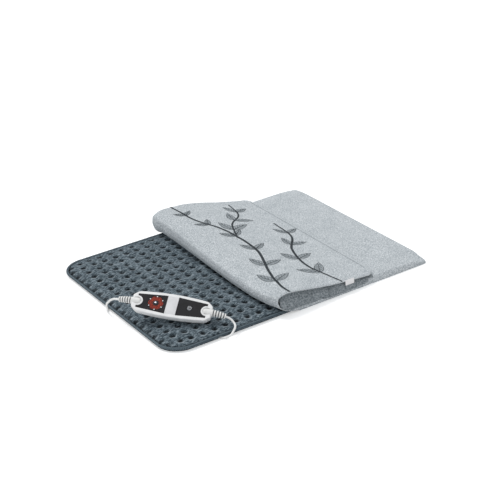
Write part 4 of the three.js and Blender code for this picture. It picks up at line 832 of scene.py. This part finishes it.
def makeGussets(grid, normals):
    places, lows = mouth["places"], mouth["low"]
    column = int(np.argmin(np.abs(grid[-20, :, 1] - mouth["hung"])))
    line = grid[:, column] + normals[:, column] * (lining["far"] + mouth["hem"])
    upper = line[line[:, 2] > np.interp(line[:, 0], places, lows) + mouth["leastHigh"]]
    upper = upper[np.argmin(upper[:, 0]):]
    xs = np.linspace(places[0], places[-1], mouth["columns"])
    v = np.linspace(0, 1, mouth["rows"])[:, None]
    high = np.interp(xs, upper[:, 0], upper[:, 2])
    low = np.minimum(np.interp(xs, places, lows), high - mouth["leastGap"])
    share = (xs - xs[0]) / (xs[-1] - xs[0])
    left, right = mouth["endShares"]
    ends = np.sqrt(ramp(np.minimum(share / left, (1 - share) / right)))
    x = xs + 0 * v
    z = high + (low - high) * v
    out = ease(ramp(v / mouth["outBy"]))
    y = mouth["tuck"] + (mouth["face"] - mouth["tuck"]) * out * (1 - mouth["endSwell"] * (1 - ends))
    y = y - mouth["swell"] * ends * np.sin(pi * v)
    for place, width, depth, lean in mouth["creases"]:
        at = place + lean * (z - mouth["leanFrom"])
        y = y + depth * bell(x - at, width) * np.sin(pi * ramp(v * 0.9 + 0.1))
    for depth, stretch, size, seed in mouth["ripples"]:
        y = y + depth * softNoise(x, z * stretch, size, seed) * out
    face = np.stack([x, y, z], axis=-1).reshape(-1, 3)
    rim, total = rimOf(*x.shape), len(face)
    faces = gridQuads(*x.shape) + gridQuads(*x.shape, total, flip=True)
    faces += joinLoops(rim, [total + index for index in rim])
    both = np.vstack([face, face + np.array([0, mouth["thickness"], 0])])
    piece = meshPiece("coverGussetFront", both + padMiddle, faces)
    # in the lining's grey plush, partly painted shade of the fold's mouth
    dress(piece, "plush_grey", "cover_gusset_front")
    roundedCopy("cover_gusset_back", "plush_grey", 0.0004)


# Print on the turned-back side: plain leaf sprigs, in the sheet's own length and width, and the hem's seam line, which
# also stands in as a painted shadow line along the flap's end
sprigs = {
    "stems": [
        # points (distance from the flap's end, place across), widest width, pairs of leaves
        {"path": [(0.158, -0.1655), (0.136, -0.100), (0.112, -0.032), (0.114, 0.040), (0.140, 0.104), (0.146, 0.166)],
         "width": 0.0042, "leaves": 6},
        {"path": [(0.062, -0.1655), (0.076, -0.112), (0.062, -0.050), (0.032, -0.004), (0.026, 0.052)],
         "width": 0.0037, "leaves": 4},
        {"path": [(0.113, 0.020), (0.094, 0.066), (0.062, 0.098), (0.050, 0.146)], "width": 0.0030, "leaves": 3},
    ],
    "step": 0.0018, "leafLength": 0.033, "leafWidth": 0.0135, "shrink": 0.08, "turn": (42, 6), "bow": 0.12,
    "rib": (0.0014, 0.0006), "outline": 0.0008, "vein": 0.0006,
    "lift": 0.00012, "linesAbove": 0.00006, "stemsAbove": 0.0001,
    # seam line near the flap's end: thread, also a painted shadow line
    "seam": {"fromEnd": 0.0058, "reach": 0.150, "width": 0.0011, "steps": 160},
}


def surfaceAt(skin, normals, s, t, fromEnd, y, lift):
    middle = s[:, s.shape[1] // 2]
    row = np.interp(middle[-1] - np.asarray(fromEnd), middle, np.arange(len(middle)))
    column = np.interp(y, t[0], np.arange(t.shape[1]))
    i = np.minimum(row.astype(int), len(middle) - 2)
    j = np.minimum(column.astype(int), t.shape[1] - 2)
    a, b = (row - i)[:, None], (column - j)[:, None]
    near = lambda field: field[i, j] * (1 - a) + field[i + 1, j] * a
    beside = lambda field: field[i, j + 1] * (1 - a) + field[i + 1, j + 1] * a
    taken, normal = (near(field) * (1 - b) + beside(field) * b for field in (skin, normals))
    return taken - normal * lift


def flatRibbon(path, widths):
    heading = np.gradient(path, axis=0)
    heading /= np.linalg.norm(heading, axis=1, keepdims=True)
    side = np.stack([-heading[:, 1], heading[:, 0]], axis=1) * widths[:, None] / 2
    return np.stack([path - side, path, path + side], axis=1)


def leafShape(base, heading, length, width):
    along = np.linspace(0, 1, 13)
    spread = np.sin(pi * along ** 0.8) ** 0.9
    across = np.linspace(-1, 1, 5)
    forward = np.array([cos(heading), sin(heading)])
    aside = np.array([-sin(heading), cos(heading)])
    bow = sprigs["bow"] * length * along ** 2
    points = base + (along * length)[:, None, None] * forward
    return points + ((spread[:, None] * across * width / 2) + bow[:, None])[:, :, None] * aside


def printMesh(name, patches, above, field, lookName):
    points, faces = [], []
    for patch in patches:
        faces += gridQuads(*patch.shape[:2], sum(map(len, points)))
        points.append(surfaceAt(*field, *patch.reshape(-1, 2).T, sprigs["lift"] + above))
    piece = meshPiece(name, np.vstack(points) + padMiddle, faces, recalculate=False)
    normal = np.mean([tuple(face.normal) for face in piece.data.polygons], axis=0)
    if normal[2] < 0:
        piece.data.flip_normals()
    piece.data.materials.append(prints[lookName])
    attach(piece, "pad")
    return piece


def evenRibbon(path, width):
    return flatRibbon(path, np.full(len(path), width))


def makePrint(skin, normals, s, t):
    stems, leaves, lines = [], [], []
    for stem in sprigs["stems"]:
        length = sum(dist(a, b) for a, b in zip(stem["path"], stem["path"][1:]))
        shares = np.linspace(0, 1, int(length / sprigs["step"]))
        path = curveAt(stem["path"], shares)
        widths = stem["width"] * np.clip(0.6 + 0.4 * np.sin(pi * (0.15 + 0.75 * shares)), 0.3, 1)
        stems.append(flatRibbon(path, widths))
        for k in range(stem["leaves"]):
            at = int(len(path) * (k + 0.7) / (stem["leaves"] + 0.6))
            heading = atan2(*(path[at + 1] - path[at])[::-1])
            size = 1 - sprigs["shrink"] * k
            base, more = sprigs["turn"]
            for side in (-1, 1):
                turn = heading + side * radians(base + more * (k % 2))
                leaf = leafShape(path[at], turn, sprigs["leafLength"] * size, sprigs["leafWidth"] * size)
                leaves.append(leaf)
                rib = leaf[:11, 2]
                lines.append(flatRibbon(rib, np.linspace(*sprigs["rib"], len(rib))))
                lines.append(evenRibbon(np.vstack([leaf[:, 0], leaf[::-1, 4]]), sprigs["outline"]))
                for vein in (2, 4, 6, 8):
                    for edge, tip in ((1, 0), (3, 4)):
                        end = (leaf[vein + 2, edge] + leaf[vein + 2, tip]) / 2
                        lines.append(evenRibbon(np.linspace(leaf[vein, 2], end, 4), sprigs["vein"]))
    seam = sprigs["seam"]
    row = np.linspace((seam["fromEnd"], -seam["reach"]), (seam["fromEnd"], seam["reach"]), seam["steps"])
    layers = (
        ("flapSeamAndShadow", [evenRibbon(row, seam["width"])], 0, "thread"), ("sprigLeaves", leaves, 0, "leaf"),
        ("sprigLines", lines, sprigs["linesAbove"], "ink"), ("sprigStems", stems, sprigs["stemsAbove"], "ink"),
    )
    return [printMesh(name, patches, above, (skin, normals, s, t), look) for name, patches, above, look in layers]


# Controller: shells, panels, ring, lamps and keys, in its own frame
controller = {
    "centre": (-0.168984, -0.0974, 0.034809),
    "along": (0.69923, -0.70413, -0.1236), "across": (0.64791, 0.55109, 0.52586), "up": (-0.30216, -0.44778, 0.84155),
    "ringAt": -0.0223, "powerAt": 0.0249, "keyTop": 0.0005,
    "band": {"length": 0.0150, "width": 0.0270, "heights": (0.00001, 0.00007)},
    # turned pieces: place, (radius, height) pairs, slot, body
    "turned": {
        "ringBed": ("ringAt", [(0.0044, -0.00129), (0.01145, -0.00129), (0.01145, -0.00117), (0.0044, -0.00117)],
                    "panel_black", "pad"),
        "levelCap": ("ringAt", [(0.0029, 0.0005), (0.0029, 0.00085), (0.0026, 0.00115), (0.0018, 0.0014),
                                (0.0006, 0.0015)], "button_black", "level_button"),
        "levelDot": ("ringAt", [(0.0012, 0.0013), (0.0012, 0.00152), (0.0008, 0.00166), (0.0003, 0.0017)],
                     "button_silver", "level_button"),
        "powerRing": ("powerAt", [(0.0030, 0.00049), (0.0030, 0.00056), (0.0027, 0.00056), (0.0027, 0.00049)],
                      "button_silver", "power_button"),
    },
}


def onController(u, v, w):
    along, across, up = (np.array(controller[key]) for key in ("along", "across", "up"))
    return np.array(controller["centre"]) + u * along + v * across + w * up


def circle(sides):
    return [(cos(turn), sin(turn)) for turn in 2 * pi * np.arange(sides) / sides]


# Round flat or domed pieces turned about the controller's upright
def turnedPiece(name, at, profile, slotName, body):
    ring = circle(48)
    points = [onController(controller[at] + radius * c, radius * s, height)
              for radius, height in profile for c, s in ring]
    piece = ringPiece(name, points, len(ring))
    choose(piece)
    bpy.ops.object.shade_smooth_by_angle(angle=radians(35))
    piece.select_set(False)
    dress(piece, slotName, body=body)


# Flat pieces of even thickness on the panel, from pairs of edges
def slabPiece(name, at, strips, low, high):
    points, faces = [], []
    for left, right in strips:
        first, up = len(points), 2 * len(left)
        last = first + up - 2
        points += [onController(at + u, v, height)
                   for height in (low, high) for pair in zip(left, right) for u, v in pair]
        for a in range(first, last, 2):
            faces += [[a + up, a + up + 1, a + up + 3, a + up + 2], [a, a + 2, a + 3, a + 1],
                      [a, a + up, a + up + 2, a + 2], [a + 1, a + 3, a + up + 3, a + up + 1]]
        faces += [[first, first + 1, first + up + 1, first + up], [last, last + up, last + up + 1, last + 1]]
    return meshPiece(name, points, faces)


def bandShadeMaterial():
    # pale grey plate on the shell, painted shade: the flat band between the panels shown greyer than the rim that
    # catches the light; fine grain, slightly uneven
    return plastic("paintedBandShade", "#d6d6d7", "#e3e3e4", 0.42, grainSize=0.0003, grainDepth=0.00001)


# Red glow of the light ring, painted into its colour under clear acrylic: a red star-burst, drawn out into six lobes
# and blotched, black at its rim
ringGlowPattern = {
    "lobes": 6.0, "lobeReach": -0.0007, "blotchScale": 480, "blotchReach": 0.0042, "from": 0.0045, "to": 0.0132,
    "colours": [
        (0.0, "#0d0a10"), (0.12, "#2a1013"), (0.22, "#ad3c22"), (0.36, "#2c0a0a"), (0.5, "#b2381c"),
        (0.62, "#360b0a"), (0.74, "#a2321b"), (0.84, "#1c1113"), (1.0, "#131215"),
    ],
}


def ringGlowMaterial():
    material, tree, shader, place = newMaterial("paintedRingGlow")
    centre = tuple(onController(controller["ringAt"], 0, 0))
    away = addNode(tree, "VectorMath", {0: place, 1: centre}, operation="SUBTRACT").outputs[0]
    u, v = (addNode(tree, "VectorMath", {0: away, 1: axis}, operation="DOT_PRODUCT").outputs["Value"]
            for axis in (controller["along"], controller["across"]))
    reach = addNode(tree, "VectorMath", {0: away}, operation="LENGTH").outputs["Value"]
    turned = compute(tree, "MULTIPLY", compute(tree, "ARCTAN2", v, u), ringGlowPattern["lobes"])
    lobed = compute(tree, "MULTIPLY_ADD", compute(tree, "COSINE", turned), ringGlowPattern["lobeReach"], reach)
    blotch = noise(tree, place, ringGlowPattern["blotchScale"], Roughness=0.6)
    wavy = compute(tree, "MULTIPLY_ADD", blotch, ringGlowPattern["blotchReach"], lobed)
    span = {"Value": wavy, "From Min": ringGlowPattern["from"], "From Max": ringGlowPattern["to"]}
    share = addNode(tree, "MapRange", span).outputs["Result"]
    fill(tree, shader, {
        "Base Color": colourSteps(tree, share, ringGlowPattern["colours"]),
        "Roughness": mapTo(tree, blotch, 0.2, 0.36), "IOR": 1.36,
    })
    return material


# Cable boots: a dome in the shell's notch, a neck, and a ribbed tail that bends under the lead's weight
boot = {
    "tip": 0.042, "dome": 0.0055, "neck": 0.057, "neckRadius": 0.0050, "neckRadii": (0.0054, 0.0052, 0.0051, 0.0050),
    "axis": -0.0036, "tail": 0.017, "tailRadius": 0.0039, "ribs": 5, "ribDepth": 0.0019, "ribSteps": 10,
    "grooveAt": 0.36, "grooveWidth": 0.2, "droop": {"left": 0.0025, "right": 0.0035}, "sides": 32,
}


def makeBoot(side):
    dome, neck, tail, ribs = (boot[key] for key in ("dome", "neck", "tail", "ribs"))
    middle = boot["tip"] + dome
    profile = [(dome * sin(turn), middle - dome * cos(turn)) for turn in np.linspace(0.02, pi / 2, 12)]
    profile += zip(boot["neckRadii"], np.linspace(middle + 0.002, neck, 4))
    shades = [0.0] * len(profile)
    for share in np.linspace(0, 1, ribs * boot["ribSteps"] + 1)[1:]:
        thick = boot["neckRadius"] + (boot["tailRadius"] - boot["neckRadius"]) * share
        groove = bell(share * ribs % 1 - boot["grooveAt"], boot["grooveWidth"], 6) if share < 0.99 else 0
        shades.append(groove)
        profile.append((thick - boot["ribDepth"] * groove * (1 - 0.35 * share), neck + tail * share))
    profile.append((lead["radius"] * 1.05, neck + tail + 0.0003))
    way = -1 if side == "left" else 1
    droop, points = boot["droop"][side], []
    for radius, u in profile:
        share = max((u - neck) / tail, 0)
        slope = atan(2 * droop * share / tail)
        for c, s in circle(boot["sides"]):
            w = radius * s
            height = boot["axis"] + w * cos(slope) - droop * share ** 2
            points.append(onController(way * (u + w * sin(slope)), radius * c, height))
    piece = ringPiece(side + "Boot", points, boot["sides"])
    # groove measure: where the material paints shade in the ribs' grooves
    shade = piece.data.attributes.new("groove", "FLOAT", "POINT")
    shade.data.foreach_set("value", np.repeat(shades + [0.0], boot["sides"]))
    dress(piece, "boot_white", side + "_boot")


def makeController():
    roundedCopy("controller_upper_shell", "shell_white", 0.00035)
    roundedCopy("controller_lower_shell", "shell_white", 0.00035)
    roundedCopy("left_panel", "panel_black", 0.00012)
    roundedCopy("right_panel", "panel_black", 0.00012)
    roundedCopy("light_ring", "ring_red", 0.00008).data.materials[0] = ringGlowMaterial()
    roundedCopy("light_guide", "lamp_white", 0.00012)
    makeBoot("left")
    makeBoot("right")
    for name, settings in controller["turned"].items():
        turnedPiece(name, *settings)
    # centre band: a thin pale grey plate, painted shade of the flat band between the panels
    band = controller["band"]
    halfLength, halfWidth = band["length"] / 2, band["width"] / 2
    edges = [[(-halfLength, v), (halfLength, v)] for v in (-halfWidth, halfWidth)]
    plate = slabPiece("centreBand", 0, [edges], *band["heights"])
    plate.data.polygons.foreach_set("use_smooth", [False] * 6)
    dress(plate, "shell_white")
    plate.data.materials[0] = bandShadeMaterial()
    print("controller dressed")


# Generic power mark on the right key: an open ring and a short bar, printed
powerMark = {
    "radius": 0.00155, "stroke": 0.00034, "opening": 38, "steps": 40, "lift": 0.00002, "height": 0.00004,
    "barFrom": 0.0004, "bar": 0.0013,
}


def makePowerMark():
    opening, half, start = powerMark["opening"], powerMark["stroke"] / 2, powerMark["barFrom"]
    turns = np.linspace(radians(opening), radians(360 - opening), powerMark["steps"])
    arcs = [[(radius * cos(turn), radius * sin(turn)) for turn in turns]
            for radius in (powerMark["radius"] - half, powerMark["radius"] + half)]
    bar = [[(start, v), (start + powerMark["bar"], v)] for v in (-half, half)]
    base = controller["keyTop"] + powerMark["lift"]
    piece = slabPiece("powerMark", controller["powerAt"], [arcs, bar], base, base + powerMark["height"])
    dress(piece, "lamp_white", body="power_button")


# CAD pieces that keep their own shape, by slot
keptNodes = {
    "button_black": ("level_button", "power_button"), "board_green": ("circuit_board",),
    "component_black": ("level_switch", "power_switch", "board_triac"), "component_glass": ("board_fuse",),
    "component_film": ("board_capacitor",), "component_terminal": ("left_terminal", "right_terminal"),
    "screw_steel": [f"housing_screw_{k}" for k in (1, 2, 3, 4)], "heater_felt": ("heating_carrier",),
    "heater_wire": ("heating_wire",), "sensor_black": ("temperature_sensor",), "boot_white": ("pad_inlet",),
    "tie_black": ("coil_tie",), "pin_metal": ("plug_pin_front", "plug_pin_back"),
}


def dressNodes():
    for slotName, nodes in keptNodes.items():
        for node in nodes:
            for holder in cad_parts[node].material_slots:
                holder.material = materials[slotName]


def makeLeads():
    padLead, start = leadCurve("padLead", lead["padExit"], lead["padWay"], padLeadPlaces)
    dress(padLead, "lead_white", "pad_lead")
    mainsLead, start = leadCurve("mainsLead", lead["mainsExit"], lead["mainsWay"], mainsLeadPlaces + coilPlaces())
    dress(mainsLead, "lead_white", "mains_lead", "mains_lead_coil", "mains_lead_tail")
    plug = [roundedCopy("plug_body", "plug_white", 0.0009, steps=3, limit=25),
            roundedCopy("plug_boot", "plug_white", 0.0002)]
    print("leads laid")


# Studio: pale floor, even sky, one soft lamp high behind on the left that rounds the tufts
studio = {"sky": 0.72, "lamp": 1.1, "lampAngle": 18, "lampFrom": (-24, 60), "floorSize": 12, "floorLift": 0.36}


def makeStudio():
    scene = bpy.context.scene
    scene.view_settings.view_transform = "Standard"
    world = bpy.data.worlds.new("studioSky")
    scene.world = world
    world.use_nodes = True
    tree = world.node_tree
    tree.nodes.clear()
    rays = addNode(tree, "LightPath").outputs
    seen = compute(tree, "MAXIMUM", rays["Is Camera Ray"], rays["Is Glossy Ray"])
    seen = compute(tree, "MAXIMUM", seen, rays["Is Transmission Ray"])
    sky, white = (addNode(tree, "Background", {"Color": linear(colour), "Strength": strength}).outputs[0]
                  for colour, strength in (("#f7f9fb", studio["sky"]), ("#ffffff", 1.0)))
    both = addNode(tree, "MixShader", {0: seen, 1: sky, 2: white})
    addNode(tree, "OutputWorld", {"Surface": both.outputs[0]})
    data = bpy.data.lights.new("softLamp", "SUN")
    data.energy, data.angle = studio["lamp"], radians(studio["lampAngle"])
    az, el = (radians(angle) for angle in studio["lampFrom"])
    source = Vector((sin(az) * cos(el), cos(az) * cos(el), sin(el)))
    addObject("softLamp", data).rotation_euler = source.to_track_quat("Z", "Y").to_euler()
    bpy.ops.mesh.primitive_plane_add(size=studio["floorSize"], location=(0, 0, 0))
    floor = bpy.context.object
    floor.name = "floor"
    bpy.ops.object.mode_set(mode="EDIT")
    bpy.ops.mesh.subdivide(number_cuts=3)
    bpy.ops.object.mode_set(mode="OBJECT")
    floor.select_set(False)
    # painted board: near white, matt, lifted a little in what the camera sees of it
    material, tree, shader, _ = newMaterial("paintedBoard")
    rays, grain = addNode(tree, "LightPath").outputs, addNode(tree, "TexNoise", {"Scale": 40}).outputs["Fac"]
    fill(tree, shader, {
        "Base Color": colourSteps(tree, grain, [(0.3, "#f6f6f6"), (0.7, "#fafafa")]), "Roughness": 0.9,
        "Emission Strength": compute(tree, "MULTIPLY", rays["Is Camera Ray"], studio["floorLift"]),
        "Emission Color": (1, 1, 1, 1), "Specular IOR Level": 0.0,
    })
    floor.data.materials.append(material)


makeCamera()
makeStudio()
makeLeads()
makeQuilt()
makePiping()
backing = roundedCopy("pad_backing", "quilt_plush", 0.0008, steps=3, limit=40)
makeCover()
underSheet = roundedCopy("cover_under_sheet", "fleece_light", 0.0006, steps=3)
roundedCopy("cover_label_tab", "label_cloth", 0.0002)
makeController()
makePowerMark()
dressNodes()

print("all pieces made")
